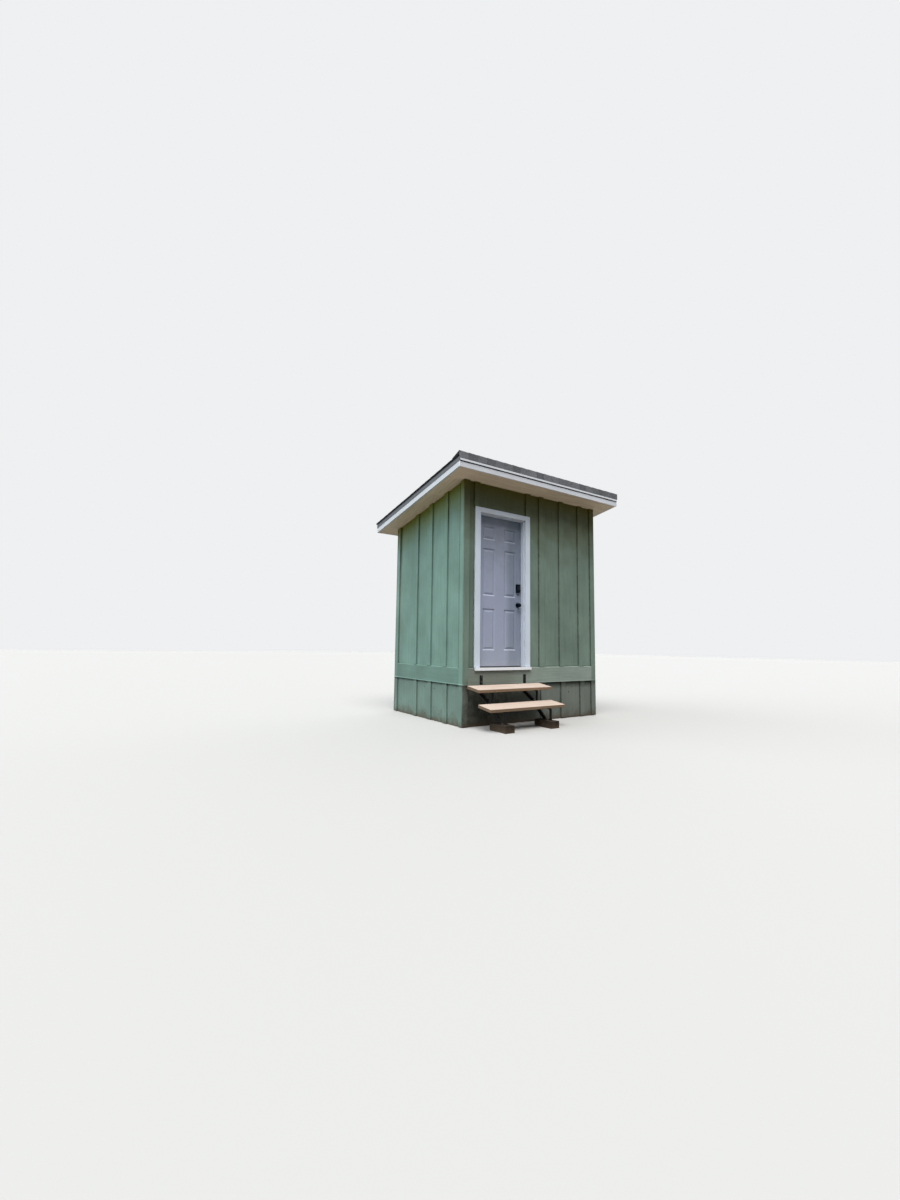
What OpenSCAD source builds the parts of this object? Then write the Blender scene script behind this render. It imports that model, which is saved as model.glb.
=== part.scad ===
// Wooden outhouse with a single-pitch roof, in millimetres. X runs along the
// front to the right, Y from front to back, Z up from the ground. The origin
// lies on the ground in the middle of the walls.

/* [Building] */
// Width of the walls over their siding
wall_w = 2438; // [2300:1:3600]
// Depth of the walls over their siding
wall_d = 1829; // [1600:1:3000]
// Thickness of the walls, with siding and lining
wall_t = 114; // [100:1:160]
// Height of the front wall's soffit above the underside of the belly band
front_h = 2660; // [2500:1:3200]
// Height of the skirt between the ground and the belly band
skirt_h = 525; // [380:1:800]
// Thickness of the skirt's panels
skirt_t = 12; // [9:1:25]

/* [Boards] */
// Thickness of the corner boards, battens, band and door trim
board_t = 19; // [12:1:30]
// Width of the corner boards and battens
board_w = 89; // [60:1:120]
// Distance from one batten to the next
batten_pitch = 400; // [300:1:600]
// Distance from the outer left corner to the front's first batten
front_batten_start = 1318; // [1250:1:1400]
// Distance from the outer front corner to a side's first batten
side_batten_start = 396; // [200:1:500]
// Number of battens on the front, past the door
front_battens = 3; // [1:1:4]
// Number of battens on each side
side_battens = 3; // [1:1:4]
// Number of battens on the back
back_battens = 5; // [1:1:6]
// How far the skirt's battens stand aside from the battens above them
skirt_shift = 26; // [0:1:40]
// Height of the belly band
band_h = 216; // [204:1:260]
// Bevel along the top edge of the belly band
band_bevel = 8; // [2:1:14]
// Gap between the ground and the feet of the corner boards and battens
board_clear = 10; // [5:1:40]

/* [Floor] */
// Depth of the floor joists
joist_h = 184; // [140:1:200]
// Width of joists and rim boards
joist_w = 38; // [30:1:50]
// Distance from one joist to the next
joist_pitch = 406; // [300:1:610]
// Thickness of the floor deck
floor_t = 19; // [15:1:20]
// Width of the square posts under the floor
post_w = 89; // [70:1:140]

/* [Roof] */
// Pitch of the roof, in degrees, falling to the back
roof_pitch = 9.5; // [4:0.5:14]
// Overhang from the siding to the face of the fascia
overhang = 270; // [180:1:400]
// Depth of the rafters
rafter_h = 130; // [110:1:200]
// Width of the rafters
rafter_w = 38; // [30:1:50]
// Number of equal bays between the rafters that stand on the side walls
rafter_bays = 4; // [2:1:6]
// Thickness of the roof deck
deck_t = 11; // [9:1:22]
// Thickness of the soffit panels
soffit_t = 6; // [4:1:12]
// Thickness of the fascia boards
fascia_t = 19; // [12:1:30]
// Thickness of the roofing
roofing_t = 8; // [5:1:14]
// How far the roofing runs past the fascia
roofing_out = 12; // [8:1:20]
// Depth of the roofing's turned-down edge along the sides
roofing_lip = 18; // [10:1:25]
// Thickness of the roofing's turned-down edge
lip_t = 5; // [3:1:7]
// Thickness of the metal edge flashings
flashing_t = 1.5; // [1:0.1:3]
// Height of the white fascia below the side flashings
rake_white = 72; // [50:1:90]
// Height of the foot of the front drip edge above the fascia's underside
drip_foot = 77; // [60:1:90]
// Height of the drip edge's lip
drip_lip = 24; // [12:1:30]
// How far the drip edge's lip stands out from the fascia
drip_out = 9; // [6:1:14]
// Height of the front cap's top edge above the fascia's underside
cap_top = 199; // [190:1:260]
// Thickness of the front cap's turned-down leg
cap_t = 7; // [4:1:10]
// Length of the front cap on the roof
cap_run = 160; // [100:1:250]
// Thickness of the front cap at its back edge
cap_tail = 5; // [3:1:8]
// Clearance between sloping faces that lie on each other
seat_clear = 0.02; // [0.01:0.01:0.1]

/* [Door] */
// Distance of the door's middle to the right of the middle of the front
door_x = -578; // [-700:1:-520]
// Width of the door
door_w = 762; // [700:1:860]
// Height of the door
door_h = 2032; // [1950:1:2100]
// Thickness of the door
door_t = 44; // [38:1:50]
// Gap round the door
door_gap = 5; // [5:0.5:8]
// Slant of the door's latch edge across its thickness
latch_bevel = 2.5; // [2:0.1:4]
// Thickness of the door jambs
jamb_t = 18; // [15:1:30]
// Thickness of the stops that the door closes against
stop_t = 10; // [8:1:15]
// Height of the threshold
threshold_h = 13; // [12:1:20]
// How far the threshold slopes down under the door
threshold_drop = 5; // [2:1:8]
// Width of the trim beside the door
trim_w = 85; // [60:1:90]
// Height of the trim over the door
trim_head_h = 64; // [50:1:90]
// Strip of jamb left bare between the trim and the opening
trim_reveal = 8; // [3:1:12]
// Height of the board under the door's sill
sill_h = 35; // [30:1:60]
// Thickness of the board under the door's sill
sill_t = 25; // [19:1:38]

/* [Door panels] */
// Width of the door's outer stiles
stile_w = 94; // [90:1:120]
// Width of the stile between the panels
mullion_w = 158; // [130:1:170]
// Height of the bottom rail
rail_bottom = 220; // [180:1:240]
// Height of the low panels
panel_low = 555; // [500:1:575]
// Height of the lock rail
rail_lock = 172; // [140:1:190]
// Height of the middle panels
panel_mid = 643; // [600:1:660]
// Height of the rail over the middle panels
rail_frieze = 120; // [100:1:135]
// Height of the top panels
panel_top = 183; // [150:1:195]
// Depth of the mouldings sunk round the panels
panel_sink = 9; // [6:1:10]
// Width of the slope down into the moulding
panel_edge = 15; // [8:1:18]
// Width of the flat strip between a moulding and its raised field
panel_flat = 6; // [4:1:12]
// Width of the slope up to the raised field
panel_slope = 22; // [12:1:26]
// How far the raised field stays below the door's face
field_drop = 1.5; // [0.5:0.1:2.5]

/* [Door hardware] */
// Distance from the latch edge to the middle of the knob
backset = 60; // [56:1:75]
// Height of the knob above the door's bottom edge
knob_z = 846; // [800:1:880]
// Height of the deadbolt above the door's bottom edge
bolt_z = 1079; // [1030:1:1120]
// Diameter of the knob
knob_d = 54; // [46:1:60]
// Length of the knob, from its shank to its front
knob_l = 30; // [24:1:36]
// Diameter of the round plate behind the knob
rose_d = 66; // [62:1:72]
// Thickness of the round plate behind the knob
rose_t = 9; // [6:1:12]
// Diameter of the knob's shank
shank_d = 26; // [20:1:30]
// Length of the shank between the round plate and the knob
shank_l = 20; // [14:1:28]
// Diameter of the spindle through the door
spindle_d = 14; // [10:1:18]
// Diameter of the hole through the door
lock_bore_d = 54; // [50:1:56]
// Clearance round the turning shank
turn_clear = 0.5; // [0.3:0.1:1]
// Width of the deadbolt's housings
bolt_w = 65; // [55:1:72]
// Height of the deadbolt's keypad housing
keypad_h = 118; // [100:1:130]
// Depth of the deadbolt's keypad housing
keypad_t = 26; // [18:1:34]
// Height of the deadbolt's inner housing
turn_h = 96; // [80:1:120]
// Depth of the deadbolt's inner housing
turn_t = 22; // [16:1:28]
// Radius of the corners of the deadbolt's housings
housing_r = 8; // [4:1:12]
// Width of the thumb turn
thumb_w = 12; // [8:1:16]
// Height of the thumb turn
thumb_h = 44; // [30:1:50]
// How far the thumb turn stands out
thumb_out = 14; // [10:1:20]
// Height of a hinge
hinge_h = 89; // [76:1:114]
// Thickness of a hinge leaf
leaf_t = 2.5; // [2:0.1:3]
// Width of a hinge leaf
leaf_w = 32; // [26:1:36]
// Diameter of a hinge knuckle
knuckle_d = 13; // [11:0.5:14]
// Diameter of a hinge pin
pin_d = 6; // [5:0.1:7]
// Radial clearance round a hinge pin
pin_clear = 0.1; // [0.05:0.01:0.2]
// Gap between neighbouring knuckles
knuckle_gap = 0.4; // [0.3:0.1:0.6]
// How far a hinge pin stands out past its knuckles
pin_tip = 3; // [1:0.5:6]
// Distance of the hinge pin from the door's inner face
pin_out = 8; // [7.5:0.5:10]
// Distance from the door's top edge to the middle of its top hinge
hinge_top = 222; // [180:1:260]
// Distance from the door's bottom edge to the middle of its bottom hinge
hinge_bottom = 320; // [250:1:360]

/* [Steps] */
// Length of the treads
tread_l = 1219; // [1100:1:1300]
// Depth of the treads
tread_d = 250; // [220:1:286]
// Thickness of the treads
tread_t = 38; // [30:1:45]
// Forward tilt of the treads, in degrees
tread_tilt = 8; // [2:0.5:10]
// Height of the upper tread's back edge below the underside of the band
tread_drop = 1; // [0:1:40]
// Height from one tread to the next
step_rise = 209; // [190:1:220]
// Distance from one tread to the next, outwards
step_run = 236; // [210:1:250]
// Gap between the band and the upper tread's back edge
step_gap = 30; // [15:1:60]
// Distance between the middles of the two step frames
frame_pitch = 740; // [500:1:1000]
// Size of the square bars of the step frames
bar = 22; // [16:1:28]
// Depth of the sloping braces of the step frames
brace = 42; // [30:1:46]
// How far behind the middle of a front leg its brace stands
brace_back = 86; // [70:1:110]
// Width of the hanger straps
hanger_w = 40; // [30:1:60]
// Thickness of the hanger straps
hanger_t = 8; // [5:1:12]
// Height of a hanger strap above the underside of the band
hanger_up = 117; // [60:1:150]
// Depth of a hanger strap below the underside of the band
hanger_down = 130; // [110:1:160]
// Distance of the posts between the treads from the band
post_out = 246; // [236:1:256]
// Distance of the front legs from the band
leg_out = 495; // [475:1:500]
// Height of the wood blocks under the legs
block_h = 89; // [60:1:100]
// Width of the wood blocks under the legs
block_w = 140; // [89:1:200]
// Length of the wood blocks under the legs
block_l = 300; // [250:1:400]
// How far the blocks run out past the front legs
block_out = 80; // [20:1:120]

/* [Hidden] */
$fn = 64;

sage = [0.42, 0.52, 0.44];
white = [0.88, 0.88, 0.86];
bare_wood = [0.76, 0.64, 0.48];
soffit_tan = [0.62, 0.50, 0.38];
grey_roof = [0.27, 0.28, 0.30];
black_metal = [0.06, 0.06, 0.07];
satin_metal = [0.55, 0.55, 0.56];

// Faces of the walls and of the boards on them
half_w = wall_w / 2;
half_d = wall_d / 2;
out_x = half_w + board_t;
out_y = half_d + board_t;
in_x = half_w - wall_t;
in_y = half_d - wall_t;

// Levels from the ground up
band_top = skirt_h + band_h;
floor_z = skirt_h + joist_h + floor_t;
door_z = floor_z + threshold_h + door_gap;

// Slopes: a piece's thickness is divided by the cosine to give its height
fall = tan(roof_pitch);
lean = cos(roof_pitch);
soffit_up = soffit_t / lean;
rafter_foot = soffit_up + seat_clear;
rafter_up = rafter_foot + rafter_h / lean;
deck_foot = rafter_up + seat_clear;
deck_up = deck_foot + deck_t / lean;
roofing_foot = deck_up + seat_clear;
roofing_up = roofing_foot + roofing_t / lean;
cap_foot = roofing_up + seat_clear;

// Faces of the roof's edge
eave_x = half_w + overhang;
eave_y = half_d + overhang;
rafter_x = eave_x - fascia_t;
rafter_y = eave_y - fascia_t;
fascia_foot = soffit_z(-rafter_y);

// Doorway
clear_half = door_w / 2 + door_gap;
frame_half = clear_half + jamb_t;
head_z = door_z + door_h + door_gap;
frame_top = head_z + jamb_t;
trim_in = clear_half + trim_reveal;
trim_out = trim_in + trim_w;
trim_head_z = head_z + trim_reveal;
slab_x = door_x - door_w / 2;
slab_y = -in_y - door_t;

// Door panels: middles of the two columns, and the foot and height of each row
panel_w = (door_w - 2 * stile_w - mullion_w) / 2;
panel_columns = [stile_w + panel_w / 2, door_w - stile_w - panel_w / 2];
row_low = rail_bottom;
row_mid = row_low + panel_low + rail_lock;
row_top = row_mid + panel_mid + rail_frieze;
panel_rows = [[row_low, panel_low], [row_mid, panel_mid], [row_top, panel_top]];

// Hinges: the pin lies in the middle of the gap, inside the door's inner face
knuckles = 5;
knuckle_h = hinge_h / knuckles;
hinge_levels = [hinge_bottom, (hinge_bottom + door_h - hinge_top) / 2, door_h - hinge_top];

// Steps: a tread's back edge, counted outwards from the band
upper_back = [step_gap, skirt_h - tread_drop];
lower_back = [step_gap + step_run, skirt_h - tread_drop - step_rise];
hanger_foot = skirt_h - hanger_down;
hanger_top = skirt_h + hanger_up;

// Underside of the soffit above a place between the front and the back
function soffit_z(y) = skirt_h + front_h - (y + half_d) * fall;

// Middle of a frame bar that lies under a tread, a distance out from the band
function under_tread(back, out) =
    back[1] - (out - back[0]) * tan(tread_tilt)
        - (tread_t + bar / 2) / cos(tread_tilt) - seat_clear;

// Outline across Y and Z, drawn out along X
module along_x(x0, x1) {
    translate([x0, 0, 0])
        rotate([90, 0, 90])
            linear_extrude(x1 - x0)
                children();
}

module box(x0, x1, y0, y1, z0, z1) {
    translate([x0, y0, z0])
        cube([x1 - x0, y1 - y0, z1 - z0]);
}

// Upright piece whose top follows the roof, a height above the soffit's underside
module upright(x0, x1, y0, y1, z0, up = -seat_clear) {
    along_x(x0, x1)
        polygon([[y0, z0], [y1, z0], [y1, soffit_z(y1) + up], [y0, soffit_z(y0) + up]]);
}

// Sheet that lies with the roof, between two heights above the soffit's underside
module sloped(x0, x1, y0, y1, up0, up1) {
    along_x(x0, x1)
        polygon([
            [y0, soffit_z(y0) + up0], [y1, soffit_z(y1) + up0],
            [y1, soffit_z(y1) + up1], [y0, soffit_z(y0) + up1]]);
}

module left_and_right() {
    children();
    mirror([1, 0, 0])
        children();
}

module skirt_ends() {
    color(sage) {
        box(-half_w, half_w, -half_d, -half_d + skirt_t, 0, skirt_h);
        box(-half_w, half_w, half_d - skirt_t, half_d, 0, skirt_h);
    }
}

module skirt_sides() {
    color(sage)
        left_and_right()
            box(half_w - skirt_t, half_w, -half_d + skirt_t, half_d - skirt_t, 0, skirt_h);
}

module floor_posts() {
    far_x = half_w - skirt_t - post_w / 2;
    far_y = half_d - skirt_t - post_w / 2;
    color(bare_wood)
        for (x = [-far_x, 0, far_x], y = [-far_y, 0, far_y])
            box(x - post_w / 2, x + post_w / 2, y - post_w / 2, y + post_w / 2, 0, skirt_h);
}

module floor_rims() {
    color(bare_wood) {
        box(-half_w, half_w, -half_d, -half_d + joist_w, skirt_h, skirt_h + joist_h);
        box(-half_w, half_w, half_d - joist_w, half_d, skirt_h, skirt_h + joist_h);
    }
}

module floor_joists() {
    reach = half_d - joist_w;
    inner = floor((half_w - 2 * joist_w) / joist_pitch);
    color(bare_wood) {
        left_and_right()
            box(half_w - joist_w, half_w, -reach, reach, skirt_h, skirt_h + joist_h);
        for (i = [-inner:inner])
            box(i * joist_pitch - joist_w / 2, i * joist_pitch + joist_w / 2,
                -reach, reach, skirt_h, skirt_h + joist_h);
    }
}

module floor_deck() {
    color(bare_wood)
        box(-half_w, half_w, -half_d, half_d, skirt_h + joist_h, floor_z);
}

module front_wall_left() {
    color(sage)
        upright(-half_w, door_x - frame_half, -half_d, -in_y, floor_z, soffit_up);
}

module front_wall_right() {
    color(sage)
        upright(door_x + frame_half, half_w, -half_d, -in_y, floor_z, soffit_up);
}

module front_wall_header() {
    color(sage)
        upright(door_x - frame_half, door_x + frame_half, -half_d, -in_y, frame_top, soffit_up);
}

module left_wall() {
    color(sage)
        upright(-half_w, -in_x, -in_y, in_y, floor_z, soffit_up);
}

module right_wall() {
    color(sage)
        upright(in_x, half_w, -in_y, in_y, floor_z, soffit_up);
}

module back_wall() {
    color(sage)
        upright(-half_w, half_w, in_y, half_d, floor_z, soffit_up);
}

// Batten on the front or the back, in two lengths: on the wall and on the skirt
module end_batten(x, y0, y1) {
    foot_x = x + skirt_shift;
    box(foot_x, foot_x + board_w, y0, y1, board_clear, skirt_h);
    upright(x, x + board_w, y0, y1, band_top);
}

module battens_front() {
    head_top = trim_head_z + trim_head_h;
    color(sage) {
        for (i = [0:front_battens - 1])
            end_batten(-out_x + front_batten_start + i * batten_pitch, -out_y, -half_d);
        for (x = [door_x - frame_half - board_w, door_x + frame_half])
            upright(x, x + board_w, -out_y, -half_d, head_top);
    }
}

module battens_back() {
    first = -(back_battens - 1) * batten_pitch / 2 - board_w / 2;
    color(sage)
        for (i = [0:back_battens - 1])
            end_batten(first + i * batten_pitch, half_d, out_y);
}

module battens_sides() {
    color(sage)
        left_and_right()
            for (i = [0:side_battens - 1]) {
                y = -out_y + side_batten_start + i * batten_pitch;
                foot_y = y - skirt_shift;
                box(half_w, out_x, foot_y, foot_y + board_w, board_clear, skirt_h);
                upright(half_w, out_x, y, y + board_w, band_top);
            }
}

module corner_boards_ends() {
    color(sage)
        left_and_right() {
            upright(out_x - board_w, out_x, -out_y, -half_d, board_clear);
            upright(out_x - board_w, out_x, half_d, out_y, board_clear);
        }
}

module corner_boards_sides() {
    color(sage)
        left_and_right() {
            upright(half_w, out_x, -half_d, -out_y + board_w, board_clear);
            upright(half_w, out_x, out_y - board_w, half_d, board_clear);
        }
}

// Outline of the belly band: its outer top edge is bevelled
module band_outline() {
    polygon([
        [0, skirt_h], [board_t, skirt_h], [board_t, band_top - band_bevel],
        [board_t - band_bevel, band_top], [0, band_top]]);
}

module band_ends() {
    reach = out_x - board_w;
    color(sage) {
        along_x(-reach, reach)
            translate([-half_d, 0])
                mirror([1, 0])
                    band_outline();
        along_x(-reach, reach)
            translate([half_d, 0])
                band_outline();
    }
}

module band_sides() {
    reach = out_y - board_w;
    color(sage)
        left_and_right()
            translate([half_w, reach, 0])
                rotate([90, 0, 0])
                    linear_extrude(2 * reach)
                        band_outline();
}

module soffit_ends() {
    color(soffit_tan) {
        sloped(-rafter_x, rafter_x, -rafter_y, -half_d, 0, soffit_up);
        sloped(-rafter_x, rafter_x, half_d, rafter_y, 0, soffit_up);
    }
}

module soffit_sides() {
    color(soffit_tan)
        left_and_right()
            sloped(half_w, rafter_x, -half_d, half_d, 0, soffit_up);
}

function rafter_places() =
    [for (i = [0:rafter_bays]) -half_w + i * (wall_w - rafter_w) / rafter_bays];

module rafters() {
    color(bare_wood) {
        left_and_right()
            sloped(rafter_x - rafter_w, rafter_x, -rafter_y, rafter_y, rafter_foot, rafter_up);
        for (x = rafter_places())
            sloped(x, x + rafter_w, -rafter_y, rafter_y, rafter_foot, rafter_up);
    }
}

// Blocks that close the bays between the rafters over the front and back walls
module rafter_blocks() {
    bay = (wall_w - rafter_w) / rafter_bays;
    color(bare_wood)
        for (i = [0:rafter_bays - 1]) {
            x = rafter_places()[i] + rafter_w;
            sloped(x, x + bay - rafter_w, -half_d, -half_d + rafter_w, rafter_foot, rafter_up);
            sloped(x, x + bay - rafter_w, half_d - rafter_w, half_d, rafter_foot, rafter_up);
        }
}

module roof_deck() {
    color(bare_wood)
        sloped(-eave_x, eave_x, -eave_y, eave_y, deck_foot, deck_up);
}

module roofing() {
    reach = eave_x + roofing_out;
    color(grey_roof) {
        sloped(-reach, reach, -eave_y, eave_y + roofing_out, roofing_foot, roofing_up);
        left_and_right()
            sloped(reach - lip_t, reach, -eave_y, eave_y + roofing_out,
                roofing_up - roofing_lip, roofing_up);
    }
}

// Cap folded over the high edge: a leg down the front and a tapered run on the roof
module front_cap() {
    reach = eave_x + roofing_out;
    face = -eave_y - flashing_t;
    back = -eave_y + cap_run;
    leg_foot = fascia_foot + drip_foot + drip_lip;
    color(grey_roof)
        along_x(-reach, reach)
            polygon([
                [face - cap_t, leg_foot], [face, leg_foot],
                [face, soffit_z(-eave_y) + cap_foot], [-eave_y, soffit_z(-eave_y) + cap_foot],
                [back, soffit_z(back) + cap_foot], [back, soffit_z(back) + cap_foot + cap_tail],
                [face, fascia_foot + cap_top], [face - cap_t, fascia_foot + cap_top - cap_t]]);
}

module rake_flashings() {
    kick = 3 * flashing_t;
    color(grey_roof)
        left_and_right() {
            sloped(eave_x, eave_x + flashing_t, -eave_y, eave_y, rake_white, deck_up);
            sloped(eave_x + flashing_t, eave_x + kick, -eave_y, eave_y,
                rake_white, rake_white + flashing_t);
        }
}

// White drip edges: a lip that stands out at the front, a plain face at the back
module drip_edges() {
    foot = fascia_foot + drip_foot;
    face = -eave_y;
    back_top = soffit_z(eave_y + flashing_t) + deck_up;
    color(white) {
        along_x(-eave_x, eave_x)
            polygon([
                [face, foot + drip_lip], [face - drip_out, foot + drip_lip],
                [face - drip_out, foot], [face - drip_out + flashing_t, foot],
                [face - drip_out + flashing_t, foot + drip_lip - flashing_t],
                [face, foot + drip_lip - flashing_t]]);
        box(-eave_x, eave_x, face - flashing_t, face, foot + drip_lip, soffit_z(face) + deck_up);
        box(-eave_x, eave_x, eave_y, eave_y + flashing_t, back_top - drip_foot, back_top);
    }
}

module fascia_ends() {
    back_foot = soffit_z(eave_y);
    color(white) {
        along_x(-eave_x, eave_x)
            polygon([
                [-eave_y, fascia_foot], [-rafter_y, fascia_foot],
                [-rafter_y, soffit_z(-rafter_y) + rafter_up], [-eave_y, soffit_z(-eave_y) + rafter_up]]);
        along_x(-eave_x, eave_x)
            polygon([
                [rafter_y, back_foot], [eave_y, back_foot],
                [eave_y, soffit_z(eave_y) + rafter_up], [rafter_y, soffit_z(rafter_y) + rafter_up]]);
    }
}

module fascia_sides() {
    color(white)
        left_and_right()
            sloped(rafter_x, eave_x, -rafter_y, rafter_y, 0, rafter_up);
}

// Jambs, with the frame leaves of the hinges let into the left one
module door_jambs() {
    color(white) {
        box(door_x + clear_half, door_x + frame_half, -half_d, -in_y, floor_z, frame_top);
        difference() {
            box(door_x - frame_half, door_x - clear_half, -half_d, -in_y, floor_z, frame_top);
            for (z = hinge_levels)
                box(door_x - clear_half - leaf_t, door_x - clear_half + 1,
                    -in_y - leaf_w, -in_y + 1, door_z + z - hinge_h / 2, door_z + z + hinge_h / 2);
        }
    }
}

module door_jamb_head() {
    color(white)
        box(door_x - clear_half, door_x + clear_half, -half_d, -in_y, head_z, frame_top);
}

// Stops: one piece of moulding round both sides and the head
module door_stops() {
    inner = clear_half - stop_t;
    color(white)
        translate([door_x, -half_d, 0])
            difference() {
                box(-clear_half, clear_half, 0, wall_t - door_t - door_gap,
                    floor_z + threshold_h, head_z);
                box(-inner, inner, -1, wall_t, floor_z, head_z - stop_t);
            }
}

module threshold() {
    top = floor_z + threshold_h;
    slope_start = -in_y - door_t / 3;
    color(satin_metal)
        along_x(door_x - clear_half, door_x + clear_half)
            polygon([
                [-half_d, floor_z], [-in_y, floor_z], [-in_y, top - threshold_drop],
                [slope_start, top], [-half_d, top]]);
}

module door_trim_sides() {
    color(white)
        for (x = [door_x - trim_out, door_x + trim_in])
            box(x, x + trim_w, -out_y, -half_d, band_top, trim_head_z);
}

module door_trim_head() {
    color(white)
        box(door_x - trim_out, door_x + trim_out, -out_y, -half_d,
            trim_head_z, trim_head_z + trim_head_h);
}

module sill_board() {
    color(white)
        box(door_x - trim_out, door_x + trim_out, -out_y - sill_t, -out_y,
            band_top - sill_h, band_top);
}

// Block with four sloping sides: one size at its face and another at its depth
module bevelled_block(w0, h0, w1, h1, depth) {
    w = max(w0, w1);
    h = max(h0, h1);
    intersection() {
        translate([0, 0, -h / 2])
            linear_extrude(h)
                polygon([[-w0 / 2, 0], [w0 / 2, 0], [w1 / 2, depth], [-w1 / 2, depth]]);
        along_x(-w / 2, w / 2)
            polygon([[0, -h0 / 2], [0, h0 / 2], [depth, h1 / 2], [depth, -h1 / 2]]);
    }
}

// Places of the panels on both faces of the door, each as $panel_h high
module each_panel() {
    for (x = panel_columns, row = panel_rows) {
        $panel_h = row[1];
        translate([x, 0, row[0] + row[1] / 2])
            children();
        translate([x, door_t, row[0] + row[1] / 2])
            mirror([0, 1, 0])
                children();
    }
}

// Moulding sunk round a panel, from just outside the face at Y = 0
module panel_pocket() {
    skin = 1;
    spread = 2 * skin * panel_edge / panel_sink;
    inset = 2 * panel_edge;
    translate([0, -skin, 0])
        bevelled_block(panel_w + spread, $panel_h + spread, panel_w - inset, $panel_h - inset,
            panel_sink + skin);
}

// Raised field in the middle of a panel: its slopes run on below the moulding's floor
module panel_field() {
    rise = panel_sink - field_drop;
    root = rise / 4;
    root_inset = 2 * (panel_edge + panel_flat - panel_slope * root / rise);
    face_inset = 2 * (panel_edge + panel_flat + panel_slope);
    translate([0, field_drop, 0])
        bevelled_block(panel_w - face_inset, $panel_h - face_inset, panel_w - root_inset,
            $panel_h - root_inset, rise + root);
}

module door() {
    color(white)
        translate([slab_x, slab_y, door_z]) {
            difference() {
                linear_extrude(door_h)
                    polygon([[0, 0], [door_w - latch_bevel, 0], [door_w, door_t], [0, door_t]]);
                each_panel()
                    panel_pocket();
                translate([door_w - backset, -1, knob_z])
                    rotate([-90, 0, 0])
                        cylinder(h = door_t + 2, d = lock_bore_d);
                for (z = hinge_levels)
                    box(-1, leaf_t, door_t - leaf_w, door_t + 1, z - hinge_h / 2, z + hinge_h / 2);
            }
            each_panel()
                panel_field();
        }
}

// Plate with round corners, standing on the face at Y = 0 and reaching to -Y
module rounded_plate(w, h, thick, r) {
    rotate([90, 0, 0])
        linear_extrude(thick) {
            square([w - 2 * r, h], center = true);
            square([w, h - 2 * r], center = true);
            for (x = [-1, 1], z = [-1, 1])
                translate([x * (w / 2 - r), z * (h / 2 - r)])
                    circle(r);
        }
}

module rose() {
    rotate([90, 0, 0])
        difference() {
            union() {
                cylinder(h = rose_t / 2, d = rose_d);
                translate([0, 0, rose_t / 2])
                    cylinder(h = rose_t / 2, d1 = rose_d, d2 = rose_d - rose_t);
            }
            translate([0, 0, -1])
                cylinder(h = rose_t + 2, d = shank_d + 2 * turn_clear);
        }
}

// Deadbolt housings and the round plates behind the knob
module lock_set() {
    lock_x = door_w - backset;
    color(black_metal)
        translate([slab_x + lock_x, slab_y, door_z]) {
            translate([0, 0, bolt_z])
                rounded_plate(bolt_w, keypad_h, keypad_t, housing_r);
            translate([0, door_t, bolt_z])
                mirror([0, 1, 0]) {
                    rounded_plate(bolt_w, turn_h, turn_t, housing_r);
                    translate([0, -turn_t, 0])
                        rounded_plate(thumb_w, thumb_h, thumb_out, thumb_w / 3);
                }
            translate([0, 0, knob_z])
                rose();
            translate([0, door_t, knob_z])
                mirror([0, 1, 0])
                    rose();
        }
}

// Half of the knob set: the turned outline from the door's face outwards
module knob_half() {
    edge = knob_l / 2;
    shank_start = rose_t / 4;
    knob_start = rose_t + shank_l;
    rotate([90, 0, 0])
        rotate_extrude() {
            square([spindle_d / 2, knob_start]);
            translate([0, shank_start])
                square([shank_d / 2, knob_start + edge - shank_start]);
            translate([0, knob_start])
                square([knob_d / 2 - edge, knob_l]);
            intersection() {
                translate([knob_d / 2 - edge, knob_start + edge])
                    circle(edge);
                translate([0, knob_start])
                    square([knob_d / 2, knob_l]);
            }
        }
}

module knob() {
    color(black_metal)
        translate([slab_x + door_w - backset, slab_y, door_z + knob_z]) {
            knob_half();
            rotate([-90, 0, 0])
                cylinder(h = door_t, d = spindle_d);
            translate([0, door_t, 0])
                mirror([0, 1, 0])
                    knob_half();
        }
}

// Every second knuckle of a hinge, from a first one, with its tab to the leaf
module hinge_knuckles(first, tab_x0, tab_x1) {
    for (i = [first:2:knuckles - 1]) {
        z0 = -hinge_h / 2 + i * knuckle_h + knuckle_gap / 2;
        z1 = z0 + knuckle_h - knuckle_gap;
        translate([0, 0, z0])
            cylinder(h = z1 - z0, d = knuckle_d);
        box(tab_x0, tab_x1, -pin_out, 0, z0, z1);
    }
}

// The hinges' places, with the pin's axis as the local origin
module each_hinge() {
    for (z = hinge_levels)
        translate([slab_x - door_gap / 2, slab_y + door_t + pin_out, door_z + z])
            children();
}

module door_hinges() {
    near = door_gap / 2;
    color(satin_metal)
        each_hinge()
            difference() {
                union() {
                    box(near, near + leaf_t, -pin_out - leaf_w, -pin_out,
                        -hinge_h / 2, hinge_h / 2);
                    hinge_knuckles(1, near, near + leaf_t);
                }
                cylinder(h = hinge_h, d = pin_d + 2 * pin_clear, center = true);
            }
}

module frame_hinges() {
    near = -door_gap / 2;
    color(satin_metal)
        each_hinge() {
            box(near - leaf_t, near, -pin_out - leaf_w, -pin_out, -hinge_h / 2, hinge_h / 2);
            hinge_knuckles(0, near - leaf_t, near);
            cylinder(h = hinge_h + 2 * pin_tip, d = pin_d, center = true);
        }
}

// A tread, given its upper back edge: how far out it lies, and its height
module tread(back) {
    translate([door_x - tread_l / 2, -out_y - back[0], back[1]])
        rotate([tread_tilt, 0, 0])
            translate([0, -tread_d, -tread_t])
                cube([tread_l, tread_d, tread_t]);
}

module step_treads() {
    color(bare_wood) {
        tread(upper_back);
        tread(lower_back);
    }
}

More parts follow.
